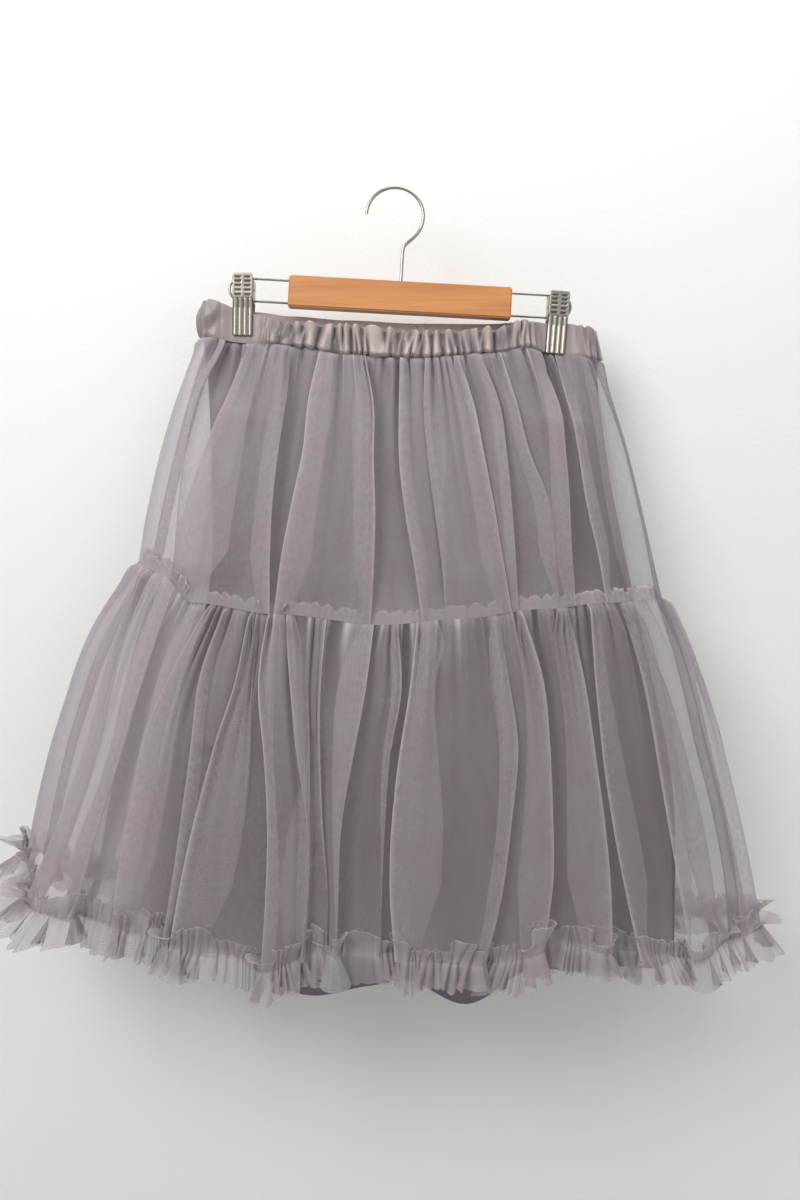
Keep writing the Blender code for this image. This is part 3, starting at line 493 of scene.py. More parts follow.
# Each fold: the side on which its edge shows, how marked it is at the top, in the middle
# and at the bottom, then the places of that edge and of the hidden one behind it, round
# the skirt in thousandths, at the six levels
UPPER_FRONT_FOLDS = (
    ("R", (0.8, 0.4, 0.2), (-869, -880, -879, -860, -845, -838), (-936, -933, -923, -898, -878, -868)),
    ("L", (0.9, 0.9, 0.6), (-765, -776, -801, -826, -845, -848), (-672, -655, -645, -646, -650, -653)),
    ("R", (0.9, 0.9, 0.8), (-519, -493, -490, -487, -475, -461), (-619, -590, -583, -577, -569, -564)),
    ("L", (1.0, 1.0, 0.9), (-382, -400, -396, -419, -441, -453), (-261, -267, -297, -313, -322, -332)),
    ("R", (0.9, 0.8, 0.5), (-145, -92, -85, -74, -76, -85), (-186, -208, -191, -175, -158, -157)),
    ("L", (0.9, 0.9, 0.8), (20, 14, 14, 36, 69, 95), (87, 71, 73, 96, 128, 147)),
    ("L", (0.8, 0.3, 0.1), (140, 121, 129, 150, 170, 182), (195, 206, 225, 234, 243, 249)),
    ("R", (0.9, 0.9, 0.9), (303, 346, 365, 386, 403, 422), (248, 271, 283, 303, 322, 336)),
    ("R", (0.8, 0.7, 0.7), (409, 457, 457, 454, 450, 446), (367, 406, 410, 411, 412, 414)),
    ("R", (0.9, 0.7, 0.2), (509, 531, 548, 597, 599, 597), (463, 483, 499, 535, 539, 541)),
    ("R", (0.8, 0.9, 0.9), (689, 715, 692, 674, 656, 652), (627, 648, 628, 607, 592, 585)),
    ("L", (0.8, 0.9, 1.0), (774, 755, 739, 732, 746, 760), (832, 825, 811, 809, 818, 816)),
    ("R", (0.6, 0.5, 0.3), (932, 909, 885, 872, 871, 871), (894, 861, 840, 828, 829, 831)),
)
UPPER_BACK_FOLDS = (
    ("L", (0.7, 0.8, 0.5), (1110, 1100, 1092, 1090, 1085, 1080), (1180, 1165, 1150, 1142, 1140, 1135)),
    ("R", (0.9, 0.7, 0.6), (1290, 1296, 1300, 1302, 1300, 1296), (1240, 1235, 1238, 1240, 1238, 1236)),
    ("L", (0.8, 0.9, 0.9), (1400, 1385, 1375, 1370, 1368, 1370), (1470, 1465, 1460, 1452, 1448, 1445)),
    ("R", (0.9, 0.6, 0.2), (1590, 1600, 1612, 1620, 1625, 1628), (1540, 1545, 1560, 1575, 1590, 1600)),
    ("R", (0.8, 0.9, 0.8), (1730, 1745, 1752, 1760, 1770, 1780), (1690, 1688, 1690, 1700, 1712, 1725)),
    ("L", (1.0, 0.9, 0.9), (1850, 1838, 1835, 1840, 1850, 1862), (1930, 1922, 1915, 1910, 1912, 1918)),
    ("L", (0.8, 0.5, 0.3), (2040, 2035, 2030, 2028, 2030, 2032), (2085, 2080, 2066, 2055, 2050, 2048)),
    ("R", (0.9, 0.9, 0.9), (2190, 2200, 2212, 2222, 2230, 2235), (2140, 2140, 2150, 2158, 2160, 2160)),
    ("L", (0.7, 0.9, 0.7), (2310, 2300, 2290, 2285, 2290, 2300), (2375, 2362, 2345, 2340, 2338, 2340)),
    ("R", (0.9, 0.7, 0.6), (2480, 2492, 2500, 2505, 2508, 2510), (2430, 2436, 2448, 2456, 2460, 2462)),
    ("L", (0.8, 0.8, 0.8), (2600, 2590, 2580, 2578, 2580, 2585), (2670, 2655, 2640, 2632, 2630, 2632)),
    ("R", (0.7, 0.6, 0.4), (2800, 2802, 2805, 2808, 2810, 2812), (2740, 2745, 2755, 2765, 2770, 2775)),
)
UPPER_CUT = (1.60, 0.25)
NET_MAUVE = "BDB4BB"
# Colour of the net along its creases and turned edges: a painted highlight
NET_EDGE_HIGHLIGHT = "EBE4E9"
UPPER_SIDE_RIGHT = (0.955, 0.958, 0.960, 0.961, 0.961, 0.961)
SIDE_LEFT = (-1.030,) * 6
SIDE_LEFT_BACK = (2.970,) * 6
UPPER_SHAPE = {
    "rings": UPPER_RINGS, "edges": (BAND_BOTTOM_EDGE, TIER_SEAM),
    "columns": 740, "rows": 74, "pinch": 0.30, "rise": 0.014, "seed": 101,
    "lap_down": ((0.0, 0.1, 0.8, 1.0), (0.5, 0.9, 1.0, 0.5)),
    "rise_down": ((0.0, 0.12, 0.5, 0.85, 1.0), (0.15, 0.6, 1.0, 0.85, 0.15)),
    "gather": 0.0066, "gather_fade": 0.20, "gather_step": 0.0235, "tube_edge": 0.12, "tube_cover": 0.24,
    "hem_cover": 0.0,
    "thick": ((-0.23, -0.19, -0.12, 0.0, 0.06, 0.13, 0.17, 0.22),
              (-0.08, 0.0, 0.06, 0.12, 0.14, 0.02, -0.10, -0.24)),
}
RING_POINTS = 900
# Half the width of a turned edge, then the net's slow waves and its fine ones
TURN_REACH = 0.0022
SLOW_WAVE = 0.0012
FINE_WAVE = 0.00045


def spline_weights(count, columns):
    """How much each of count guide points pulls on each column of an even cubic spline."""
    weights = np.zeros((columns, count))
    reach = np.linspace(0.0, count - 3.001, columns)
    for column, at in enumerate(reach):
        first = int(at)
        t = at - first
        weights[column, first:first + 4] = (
            (1 - t) ** 3 / 6, (3 * t ** 3 - 6 * t ** 2 + 4) / 6,
            (-3 * t ** 3 + 3 * t ** 2 + 3 * t + 1) / 6, t ** 3 / 6,
        )
    return weights


def folded_sheet(folds, start, end, shape):
    """Rows of points on net that hangs from a gathered seam and laps over at its folds.

    The guide points of each row run along the ring. At each fold the net turns back under
    itself, so that three layers lie between its showing edge and its hidden edge.
    """
    standing = np.random.default_rng(shape["seed"]).uniform(0.8, 1.2, len(folds))
    showing = np.array([fold[2] for fold in folds]) / 1000.0
    hidden = np.array([fold[3] for fold in folds]) / 1000.0
    marking = np.array([fold[1] for fold in folds])
    rows, creases, laps, thickness = [], [], [], []
    weights = None
    for share in np.linspace(0.0, 1.0, shape["rows"]):
        begin, finish, shows, hides = [turn_angle(soft_between(FOLD_LEVELS, places, share))
                                       for places in (start, end, showing.T, hidden.T)]
        grid_angles = np.linspace(float(begin), float(finish), RING_POINTS)
        pinch = max(0.0, 1.0 - share / shape["pinch"]) if shape["pinch"] else 0.0
        grid, grid_out = ring_line(shape["rings"], share, grid_angles, *shape["edges"], pinch)
        grid_run = run_lengths(grid)
        out_runs, in_runs = [np.interp(-places, -grid_angles, grid_run) for places in (shows, hides)]
        marked = soft_between((0.0, 0.5, 1.0), marking.T, share)
        kept = np.interp(share, *shape["lap_down"]) * ease(marked / 0.45)
        in_runs = out_runs + (in_runs - out_runs) * kept
        rise = shape["rise"] * standing * (0.3 + 0.7 * marked) * np.interp(share, *shape["rise_down"])
        # Each guide point: length along the ring, how far it stands out, crease and lap
        guides = [(0.0, 0.0, 0.0, 0.0)] * 4
        for fold, out, back, high, glow, lap in zip(folds, out_runs, in_runs, rise, marked, kept):
            side = 1.0 if fold[0] == "L" else -1.0
            turn = side * min(TURN_REACH, 0.35 * abs(back - out) + 0.0006)
            steps = [
                (back - turn, -0.50, 0.0), (back, -0.36, 0.35), (back - turn, -0.24, 0.0),
                (0.5 * (out + back), 0.0, 0.0),
                (out + turn, 0.24, 0.10), (out, 0.36, 1.2), (out + turn, 0.50, 0.10),
            ][::int(side)]
            before = guides[-1]
            first = steps[0]
            bulge = 0.16 * high * (1.0 if before[1] + first[1] * high > 0 else -0.8)
            guides += [(before[0] + (first[0] - before[0]) * part,
                        before[1] + (first[1] * high - before[1]) * part + bulge, 0.0, 0.0)
                       for part in (0.25, 0.5, 0.75)]
            guides += [(step[0], step[1] * high, step[2] * glow, min(1.0, lap)) for step in steps]
        before = guides[-1]
        guides += [(before[0] + (grid_run[-1] - before[0]) * part, before[1] * (1.0 - part), 0.0, 0.0)
                   for part in (0.3, 0.6)]
        guides = np.array(guides + [(grid_run[-1], 0.0, 0.0, 0.0)] * 4)
        if weights is None:
            weights = spline_weights(len(guides), shape["columns"])
        run, stand, crease, lap = (weights @ guides).T
        points = points_at(grid, grid_run, run)
        outward = points_at(grid_out, grid_run, run)
        outward /= np.linalg.norm(outward, axis=1, keepdims=True)
        rows.append((points, outward, stand, share))
        creases.append(crease)
        laps.append(lap)
        thickness.append(np.interp(points[:, 0], *shape["thick"]))
    # The cloth's own length along a row two thirds of the way down
    guide = rows[int(len(rows) * 0.66)]
    cloth = run_lengths(guide[0] + guide[1] * guide[2][:, None])
    ends = np.minimum(1.0, np.minimum(cloth, cloth[-1] - cloth) / 0.02)
    fade = shape["gather_fade"] * (1.0 + 0.75 * soft_noise(cloth, 0.017, shape["seed"] + 1))
    deep = shape["gather"] * (1.0 + 0.5 * soft_noise(cloth, 0.012, shape["seed"] + 2))
    phase = cloth / shape["gather_step"] + 1.1 * soft_noise(cloth, 0.030, shape["seed"] + 3)
    crests = gathers(phase, 1.0, shape["seed"] + 6)
    # Where each gather turns, the crease mark makes the net denser and gives it the painted edge highlight
    folded = 0.80 * np.exp(-((crests - 0.42) / shape["tube_edge"]) ** 2)
    double = shape["tube_cover"] * (ease((crests - 0.25) / 0.35) - 0.55)
    finished = []
    drawn = []
    for (points, outward, stand, share), crease in zip(rows, creases):
        pucker = np.exp(-share / fade)
        seam_wave = deep * (2.0 * crests - 0.7) * pucker * (1.0 - np.exp(-share / 0.008))
        drawn.append(pucker)
        np.maximum(crease, folded * pucker, out=crease)
        slow = SLOW_WAVE * soft_noise(cloth + 0.01 * math.sin(4.0 * share), 0.028, shape["seed"] + 4)
        fine = FINE_WAVE * soft_noise(cloth + 0.004 * share, 0.006, shape["seed"] + 5)
        offset = stand + (seam_wave + (slow + fine) * min(1.0, share / 0.1)) * ends
        finished.append(points + outward * offset[:, None])
    drawn = np.array(drawn)
    sewn_hem = np.exp(-(1.0 - np.linspace(0.0, 1.0, len(rows))) / 0.05)[:, None]
    crowded = 0.03 * drawn ** 3 + double * drawn + np.array(thickness) + shape["hem_cover"] * sewn_hem
    marks = {"crease": np.array(creases), "lap": np.array(laps), "drawn": drawn, "crowded": crowded}
    return np.array(finished), marks, cloth


def net_cloth(name, colour, cover, turned, crease_cover, edge_colour):
    """Soft net: fine knitted holes, so one layer hides only part of what is behind it."""
    material, tree = empty_material(name)
    cloth = add_node(tree, "ShaderNodeUVMap", uv_map="UVMap")
    # Holes about 1.3 mm apart; the real ones are nearer 0.9 mm
    cells = add_node(tree, "ShaderNodeTexVoronoi", {"Vector": cloth, "Scale": 760.0, "Randomness": 0.35},
                     voronoi_dimensions="2D", feature="DISTANCE_TO_EDGE")
    threads = add_node(tree, "ShaderNodeMapRange", {
        "Value": cells, "From Min": 0.0, "From Max": 0.35, "To Min": 1.18, "To Max": 0.86})
    uneven_place = add_node(tree, "ShaderNodeMapping", {"Vector": cloth, "Scale": (42.0, 13.0, 1.0)})
    uneven = add_node(tree, "ShaderNodeTexNoise", {
        "Vector": uneven_place, "Scale": 1.0, "Detail": 5.0, "Roughness": 0.65})
    clouds = add_node(tree, "ShaderNodeMapRange", {
        "Value": uneven, "From Min": 0.3, "From Max": 0.7, "To Min": 0.88, "To Max": 1.12})
    covered = add_node(tree, "ShaderNodeMath", {0: threads, 1: cover}, operation="MULTIPLY")
    covered = add_node(tree, "ShaderNodeMath", {0: covered, 1: clouds}, operation="MULTIPLY")
    # Where the net lies in laps, the layers' holes drift in and out of step as a mottle
    mottle_place = add_node(tree, "ShaderNodeMapping", {"Vector": cloth, "Scale": (230.0, 150.0, 1.0)})
    mottle = add_node(tree, "ShaderNodeTexNoise", {"Vector": mottle_place, "Scale": 1.0, "Detail": 1.0})
    mottle = add_node(tree, "ShaderNodeMapRange", {
        "Value": mottle, "From Min": 0.3, "From Max": 0.7, "To Min": -0.07, "To Max": 0.07})
    lap = add_node(tree, "ShaderNodeAttribute", attribute_name="lap").outputs["Fac"]
    lap = add_node(tree, "ShaderNodeMapRange", {"Value": lap, "To Min": 0.22, "To Max": 1.0})
    mottle = add_node(tree, "ShaderNodeMath", {0: mottle, 1: lap}, operation="MULTIPLY")
    # Along a gathered seam the net is crowded into fine upright streaks
    streak_place = add_node(tree, "ShaderNodeMapping", {"Vector": cloth, "Scale": (190.0, 7.0, 1.0)})
    streaks = add_node(tree, "ShaderNodeTexNoise", {"Vector": streak_place, "Scale": 1.0, "Detail": 2.0})
    streaks = add_node(tree, "ShaderNodeMapRange", {
        "Value": streaks, "From Min": 0.45, "From Max": 0.75, "To Min": 0.0, "To Max": 0.14})
    drawn = add_node(tree, "ShaderNodeAttribute", attribute_name="drawn").outputs["Fac"]
    streaks = add_node(tree, "ShaderNodeMath", {0: streaks, 1: drawn}, operation="MULTIPLY")
    slant = add_node(tree, "ShaderNodeLayerWeight", {"Blend": 0.5}).outputs["Facing"]
    slant = add_node(tree, "ShaderNodeMath", {0: slant, 1: 2.2}, operation="POWER")
    slant = add_node(tree, "ShaderNodeMath", {0: slant, 1: turned}, operation="MULTIPLY")
    crease = add_node(tree, "ShaderNodeAttribute", attribute_name="crease").outputs["Fac"]
    crease = add_node(tree, "ShaderNodeMath", {0: crease, 1: 2.4}, operation="POWER", use_clamp=True)
    edge = add_node(tree, "ShaderNodeMath", {0: crease, 1: crease_cover}, operation="MULTIPLY")
    # Close to a line of stitches, and where more cloth has slid along it, the net is crowded
    crowded = add_node(tree, "ShaderNodeAttribute", attribute_name="crowded").outputs["Fac"]
    for extra in (slant, edge, mottle, streaks, crowded):
        covered = add_node(tree, "ShaderNodeMath", {0: covered, 1: extra}, operation="ADD", use_clamp=True)
    # The dye takes unevenly: a little pinker here, a little greyer there
    red, green, blue = linear(colour)[:3]
    pinker = (red * 1.05, green * 0.97, blue * 0.98, 1.0)
    greyer = (red * 0.95, green * 1.03, blue * 1.02, 1.0)
    clouds_at = add_node(tree, "ShaderNodeMapRange", {"Value": uneven, "From Min": 0.35, "From Max": 0.65})
    dyed = add_node(tree, "ShaderNodeMix", {0: clouds_at, 6: pinker, 7: greyer}, data_type="RGBA")
    # Along creases the colour turns to the edge colour: on the net this is a painted highlight, on the side
    # seam the thread's darker lines
    shade = add_node(tree, "ShaderNodeMix", {0: crease, 6: dyed.outputs[2], 7: linear(edge_colour)},
                     data_type="RGBA").outputs[2]
    net = add_node(tree, "ShaderNodeBsdfPrincipled", {"Base Color": shade, "Roughness": 0.62,
                                                      "Sheen Weight": 0.25, "Sheen Roughness": 0.5})
    glow = add_node(tree, "ShaderNodeBsdfTranslucent", {"Color": linear(colour)})
    lit = add_node(tree, "ShaderNodeMixShader", {0: 0.30, 1: net, 2: glow})
    clear = add_node(tree, "ShaderNodeBsdfTransparent")
    return end_material(material, add_node(tree, "ShaderNodeMixShader", {0: covered, 1: clear, 2: lit}))


def hang_tier(tier_name, panels, cut, shape, back_shape, material):
    """The front and back panels of a tier. Gives the rows of points of each."""
    sheets = {}
    for part_name, folds, start, end in panels:
        if part_name == "back":
            shape = {**shape, **back_shape}
        rows, marks, cloth = folded_sheet(folds, start, end, shape)
        down = np.linspace(0.0, cut[1], len(rows))[:, None]
        node = tier_name + "_" + part_name
        cloth_sheet(node + "_net", rows, cloth[None, :], down, material, marks,
                    node)
        sheets[part_name] = rows
    return sheets


# Upper net: greyish mauve and sheer, with pale turned edges that carry a painted highlight; the weave hides
# two fifths
upper_net = net_cloth("upper_net", NET_MAUVE, 0.39, 0.42, 0.95, NET_EDGE_HIGHLIGHT)
UPPER_PANELS = (
    ("front", UPPER_FRONT_FOLDS, SIDE_LEFT, UPPER_SIDE_RIGHT),
    ("back", UPPER_BACK_FOLDS, UPPER_SIDE_RIGHT, SIDE_LEFT_BACK),
)
upper_sheets = hang_tier("upper_tier", UPPER_PANELS, UPPER_CUT, UPPER_SHAPE, {"columns": 540, "rise": 0.011},
                         upper_net)

# Lower tier
# Two wider panels of the same net, gathered hard into the upper tier's lower edge.
# The gathers open into some thirty deep folds that spread the hem out like a bell.
LOWER_RINGS = (
    (0.00, 0.2300, 0.2395, -0.022, -0.0680, 0.0275),
    (0.20, 0.2660, 0.2640, -0.028, -0.0830, 0.0290),
    (0.52, 0.2980, 0.2880, -0.036, -0.0990, 0.0300),
    (0.91, 0.3220, 0.3110, -0.043, -0.1100, 0.0310),
    (1.00, 0.3260, 0.3150, -0.045, -0.1120, 0.0310),
)
HEM_EDGE = (
    (-1.00, -0.6010, -0.6010), (-0.90, -0.6380, -0.6320), (-0.68, -0.6520, -0.6480),
    (-0.46, -0.6680, -0.6500), (-0.32, -0.6800, -0.6550), (-0.20, -0.6670, -0.6580),
    (0.10, -0.6690, -0.6620), (0.26, -0.6750, -0.6640), (0.42, -0.6610, -0.6650),
    (0.66, -0.6720, -0.6690), (0.78, -0.6780, -0.6730), (0.90, -0.6630, -0.6720),
    (1.00, -0.6560, -0.6560),
)
LOWER_FRONT_FOLDS = (
    ("L", (0.5, 0.5, 0.6), (-951, -907, -877, -881, -911, -941), (-918, -877, -850, -849, -874, -906)),
    ("R", (0.7, 0.8, 0.8), (-819, -777, -766, -773, -789, -806), (-901, -850, -828, -827, -857, -880)),
    ("L", (0.7, 0.7, 0.7), (-690, -700, -721, -715, -716, -710), (-659, -645, -631, -624, -631, -638)),
    ("L", (0.8, 0.8, 0.7), (-627, -610, -584, -573, -572, -580), (-601, -577, -555, -540, -538, -540)),
    ("L", (0.8, 1.0, 1.0), (-535, -500, -518, -535, -550, -560), (-486, -439, -408, -402, -422, -435)),
    ("L", (1.0, 1.0, 0.8), (-472, -430, -375, -342, -332, -333), (-420, -375, -350, -319, -297, -288)),
    ("L", (0.9, 0.8, 0.0), (-405, -331, -281, -238, -225, -221), (-340, -286, -249, -221, -215, -211)),
    ("R", (0.0, 0.6, 1.0), (-304, -270, -240, -225, -218, -225), (-314, -280, -255, -290, -303, -306)),
    ("R", (0.8, 0.5, 0.0), (-247, -228, -210, -190, -170, -168), (-290, -250, -225, -205, -186, -180)),
    ("R", (0.9, 1.0, 0.8), (-73, -87, -114, -138, -140, -139), (-152, -191, -186, -173, -161, -157)),
    ("R", (0.9, 0.4, 0.05), (16, 25, -10, -22, -30, -36), (-31, -16, -38, -45, -49, -53)),
    ("L", (1.0, 1.0, 1.0), (76, 45, 11, -10, -14, -1), (220, 142, 139, 144, 127, 110)),
    ("R", (0.9, 1.0, 0.9), (375, 367, 366, 328, 287, 231), (324, 300, 308, 288, 250, 199)),
    ("R", (1.0, 1.0, 1.0), (454, 469, 458, 442, 423, 382), (418, 404, 391, 362, 329, 290)),
    ("R", (1.0, 1.0, 1.0), (623, 605, 593, 588, 579, 561), (537, 516, 506, 485, 466, 449)),
    ("L", (0.9, 0.9, 1.0), (688, 633, 610, 605, 613, 632), (740, 695, 691, 695, 697, 697)),
    ("L", (0.8, 0.9, 0.9), (815, 789, 773, 765, 764, 769), (902, 879, 865, 854, 827, 813)),
)
LOWER_BACK_FOLDS = (
    ("R", (0.5, 0.6, 0.6), (1010, 1005, 1000, 995, 990, 985), (965, 958, 950, 952, 945, 935)),
    ("L", (0.8, 0.9, 0.8), (1100, 1085, 1072, 1066, 1064, 1068), (1150, 1140, 1128, 1120, 1118, 1116)),
    ("R", (0.8, 0.9, 1.0), (1265, 1275, 1282, 1285, 1284, 1280), (1210, 1205, 1200, 1196, 1194, 1196)),
    ("L", (0.9, 1.0, 0.8), (1370, 1352, 1340, 1338, 1342, 1350), (1425, 1420, 1418, 1415, 1412, 1410)),
    ("R", (0.9, 0.8, 0.9), (1520, 1535, 1545, 1552, 1555, 1556), (1475, 1478, 1480, 1482, 1480, 1478)),
    ("L", (1.0, 0.9, 1.0), (1630, 1612, 1604, 1606, 1612, 1620), (1690, 1686, 1680, 1676, 1672, 1670)),
    ("R", (0.8, 1.0, 0.9), (1790, 1806, 1815, 1818, 1815, 1810), (1740, 1742, 1745, 1744, 1740, 1736)),
    ("L", (0.9, 0.8, 0.7), (1880, 1868, 1862, 1866, 1874, 1882), (1935, 1928, 1920, 1916, 1915, 1916)),
    ("R", (1.0, 1.0, 1.0), (2050, 2068, 2080, 2088, 2092, 2094), (1990, 1992, 1996, 2000, 2002, 2000)),
    ("L", (0.8, 0.9, 1.0), (2150, 2140, 2136, 2138, 2144, 2150), (2210, 2208, 2205, 2202, 2200, 2198)),
    ("R", (0.9, 0.9, 0.8), (2300, 2312, 2320, 2326, 2328, 2328), (2255, 2256, 2258, 2260, 2260, 2258)),
    ("L", (1.0, 0.8, 0.9), (2400, 2388, 2380, 2378, 2382, 2390), (2460, 2450, 2444, 2440, 2438, 2438)),
    ("R", (0.8, 1.0, 1.0), (2560, 2575, 2585, 2590, 2590, 2586), (2505, 2504, 2506, 2508, 2508, 2506)),
    ("L", (0.9, 0.9, 0.8), (2660, 2648, 2642, 2640, 2644, 2650), (2715, 2708, 2700, 2698, 2696, 2696)),
    ("R", (0.7, 0.7, 0.7), (2830, 2836, 2840, 2842, 2844, 2846), (2780, 2782, 2785, 2790, 2792, 2794)),
)
LOWER_CUT = (2.60, 0.30)
LOWER_SIDE_RIGHT = (0.961, 0.924, 0.909, 0.912, 0.908, 0.890)
LOWER_SHAPE = {
    "rings": LOWER_RINGS, "edges": (TIER_SEAM, HEM_EDGE),
    "columns": 940, "rows": 78, "pinch": 0.0, "rise": 0.021, "seed": 211,
    "lap_down": ((0.0, 0.08, 0.8, 1.0), (0.55, 0.9, 1.0, 0.6)),
    "rise_down": ((0.0, 0.1, 0.45, 1.0), (0.12, 0.45, 0.9, 1.0)),
    "gather": 0.0062, "gather_fade": 0.20, "gather_step": 0.0175, "tube_edge": 0.15, "tube_cover": 0.28,
    "hem_cover": 0.26,
    "thick": ((-0.33, -0.22, -0.15, -0.08, 0.0, 0.1, 0.2, 0.32),
              (0.13, 0.18, -0.01, 0.08, -0.05, -0.04, -0.07, -0.05)),
}
# Lower net: the same cloth, a little more open where it spreads to the hem
lower_net = net_cloth("lower_net", NET_MAUVE, 0.33, 0.42, 0.95, NET_EDGE_HIGHLIGHT)
LOWER_PANELS = (
    ("front", LOWER_FRONT_FOLDS, SIDE_LEFT, LOWER_SIDE_RIGHT),
    ("back", LOWER_BACK_FOLDS, LOWER_SIDE_RIGHT, SIDE_LEFT_BACK),
)
lower_sheets = hang_tier("lower_tier", LOWER_PANELS, LOWER_CUT, LOWER_SHAPE, {"columns": 680, "rise": 0.015},
                         lower_net)

# Seam band
# The gathered top edge of the lower tier's net stands up inside the upper tier, overlocked.
# Seen through the net it is a pale band with a scalloped edge, just above the seam.
BAND_UP = 0.0110
BAND_LINES = 7
SCALLOP = 0.013
RIPPLE = 0.0021
RIPPLE_STEP = 0.0056
# Crowded net of the allowance: paler and less sheer than one layer
seam_net = net_cloth("seam_net", "CAC2C6", 0.68, 0.35, 0.5, NET_EDGE_HIGHLIGHT)


def eased_lines(low, high, count, passes):
    """Two rows of a tier made even and smooth, so that a strip bridges its laps."""
    for _ in range(2):
        lengths = run_lengths(low)
        even = np.linspace(0.0, lengths[-1], count)
        low, high = [points_at(line, lengths, even) for line in (low, high)]
        for line in (low, high):
            for _ in range(passes):
                line[1:-1] = (line[:-2] + 2.0 * line[1:-1] + line[2:]) / 4.0
    along, outward = directions(low)
    return low, (high - low) / (high[:, 2:] - low[:, 2:]), along, outward, run_lengths(low)


for part_name in ("front", "back"):
    tier_rows = upper_sheets[part_name]
    low, slope, along, outward, lengths = eased_lines(tier_rows[-1], tier_rows[-8], 700, 24)
    scallops = np.sin(math.pi * ((lengths / SCALLOP + 0.9 * soft_noise(lengths, 0.03, 61)) % 1.0)) ** 0.7
    lift = BAND_UP * (0.68 + 0.42 * scallops + 0.12 * soft_noise(lengths, 0.004, 62))
    turns = lengths / RIPPLE_STEP * 2.0 * math.pi + 2.5 * soft_noise(lengths, 0.02, 63)
    rows = []
    for part in np.linspace(1.0, 0.0, BAND_LINES):
        inside = 0.0036 * part + 0.0012 + RIPPLE * np.cos(turns) * part
        rows.append(low + slope * (lift * part)[:, None] - outward * inside[:, None])
    down = np.linspace(0.0, BAND_UP, BAND_LINES)[:, None]
    # The overlocked top edge and the seam carry the crease mark: denser net, and the painted edge highlight
    overlocked = np.array([1.0, 0.7, 0.2, 0.1, 0.0, 0.1, 0.4])[:, None]
    cloth_sheet("tier_seam_" + part_name + "_net", rows, lengths[None, :] * 1.6, down, seam_net,
                {"crease": overlocked, "drawn": np.ones((BAND_LINES, 1))})

# Hem ruffle
# A strip of the same net, gathered and stitched on along its middle, over the hem.
# Both long edges are raw, so they stand away in small uneven waves above and below.
RUFFLE_ABOVE = 0.021
RUFFLE_BELOW = 0.0215
RUFFLE_CUT = (4.20, 0.044)
RUFFLE_LINES = 21
FAN_UP = 0.0185
FAN_DOWN = 0.0215
PLEAT = 0.0070
RUFFLE_INSIDE = 0.0016
SEWN_INSIDE = 0.0006
ruffle_lines = {}
# Ruffle net: a shade greyer, and closer where the pleats stand side by side
ruffle_net = net_cloth("ruffle_net", "B8B0B5", 0.46, 0.42, 0.60, NET_EDGE_HIGHLIGHT)
for part_name, count, seed in (("front", 2000, 301), ("back", 1500, 351)):
    tier_rows = lower_sheets[part_name]
    hem, slope, along, outward, even = eased_lines(tier_rows[-2], tier_rows[-9], count, 60)
    fans_up = even / FAN_UP + 1.4 * soft_noise(even, 0.037, seed + 1)
    fans_down = even / FAN_DOWN + 1.3 * soft_noise(even, 0.043, seed + 2)
    small = even / PLEAT + 1.5 * soft_noise(even, 0.017, seed + 3)
    pleats = 2.0 * gathers(small, 1.0, seed + 9) - 1.0
    pleat_edges = np.exp(-((pleats + 0.1) / 0.35) ** 2)
    pleat_cover = 0.16 * ease(0.5 + pleats) - 0.08
    flare = 1.0 + 1.3 * ease((np.abs(hem[:, 0]) - 0.25) / 0.06)
    uneven = 1.0 + 0.6 * soft_noise(even, 0.009, seed + 4)
    rows = []
    marks = []
    for level in np.linspace(1.0, -1.0, RUFFLE_LINES):
        size = abs(level)
        above = level > 0
        fans = fans_up if above else fans_down
        own = np.floor(fans).astype(int) % 997
        chance = np.random.default_rng(seed + (7 if above else 8))
        tall, leant, turned, opened = chance.uniform(-1.0, 1.0, (4, 997))[:, own]
        at = (fans % 1.0) * 2.0 - 1.0
        arch = np.cos(0.5 * math.pi * at) ** 0.8
        if above:
            # A petal curls over, so that its edge runs in an arc from one pinch to the next
            deep = (0.0011 + 0.0009 * size) * uneven
            out = RUFFLE_INSIDE + size ** 1.3 * arch * (0.0085 + 0.0060 * leant)
            reach = RUFFLE_ABOVE * (0.56 + 0.40 * arch + 0.20 * tall - 0.20 * arch * size * (1.0 + leant))
            slide = size * (0.0030 * (opened + 0.3) * at + 0.0050 * turned * arch)
        else:
            deep = (0.0011 + 0.0028 * size) * uneven
            out = RUFFLE_INSIDE + size * (0.0035 + 0.0040 * arch * (1.0 + leant))
            reach = RUFFLE_BELOW * (0.88 + 0.16 * arch * size + 0.15 * tall)
            slide = size * (0.0058 * at + 0.0034 * turned)
        ragged = 0.0019 * soft_noise(even, 0.0050, seed + 5 + above, 3) * size ** 3
        rows.append(hem + slope * (reach * level + ragged)[:, None] + along * slide[:, None]
                    + outward * (out * flare + pleats * deep)[:, None])
        # Raw edges and pleat edges carry the crease mark: denser net, and the net's painted edge highlight
        edge = (0.9 if above else 0.35) * ease((size - 0.90) / 0.1)
        marks.append(np.maximum(edge, pleat_edges * (0.62 if above else 0.50) * (1.0 - size) ** 0.5))
    ruffle_lines[part_name] = rows[RUFFLE_LINES // 2] + outward * SEWN_INSIDE
    down = np.linspace(0.0, RUFFLE_CUT[1], RUFFLE_LINES)[:, None]
    drawn = np.exp(-np.abs(np.linspace(1.0, -1.0, RUFFLE_LINES)) / 0.9)[:, None]
    marks = {"crease": np.array(marks), "drawn": drawn, "crowded": 0.42 * drawn ** 4 + pleat_cover}
    node = "hem_ruffle_" + part_name
    cloth_sheet(node + "_net", rows, even[None, :] * 1.6, down, ruffle_net, marks,
                node)

# Side seams
# The net's front and back panels are sewn together at each side and overlocked. The allowance
# lies to the back, and through the net it shows as a darker band between two lines.
SEAM_ALLOWANCE = 0.010
SEAM_LINES = 7
SEAM_BEHIND = 0.0016
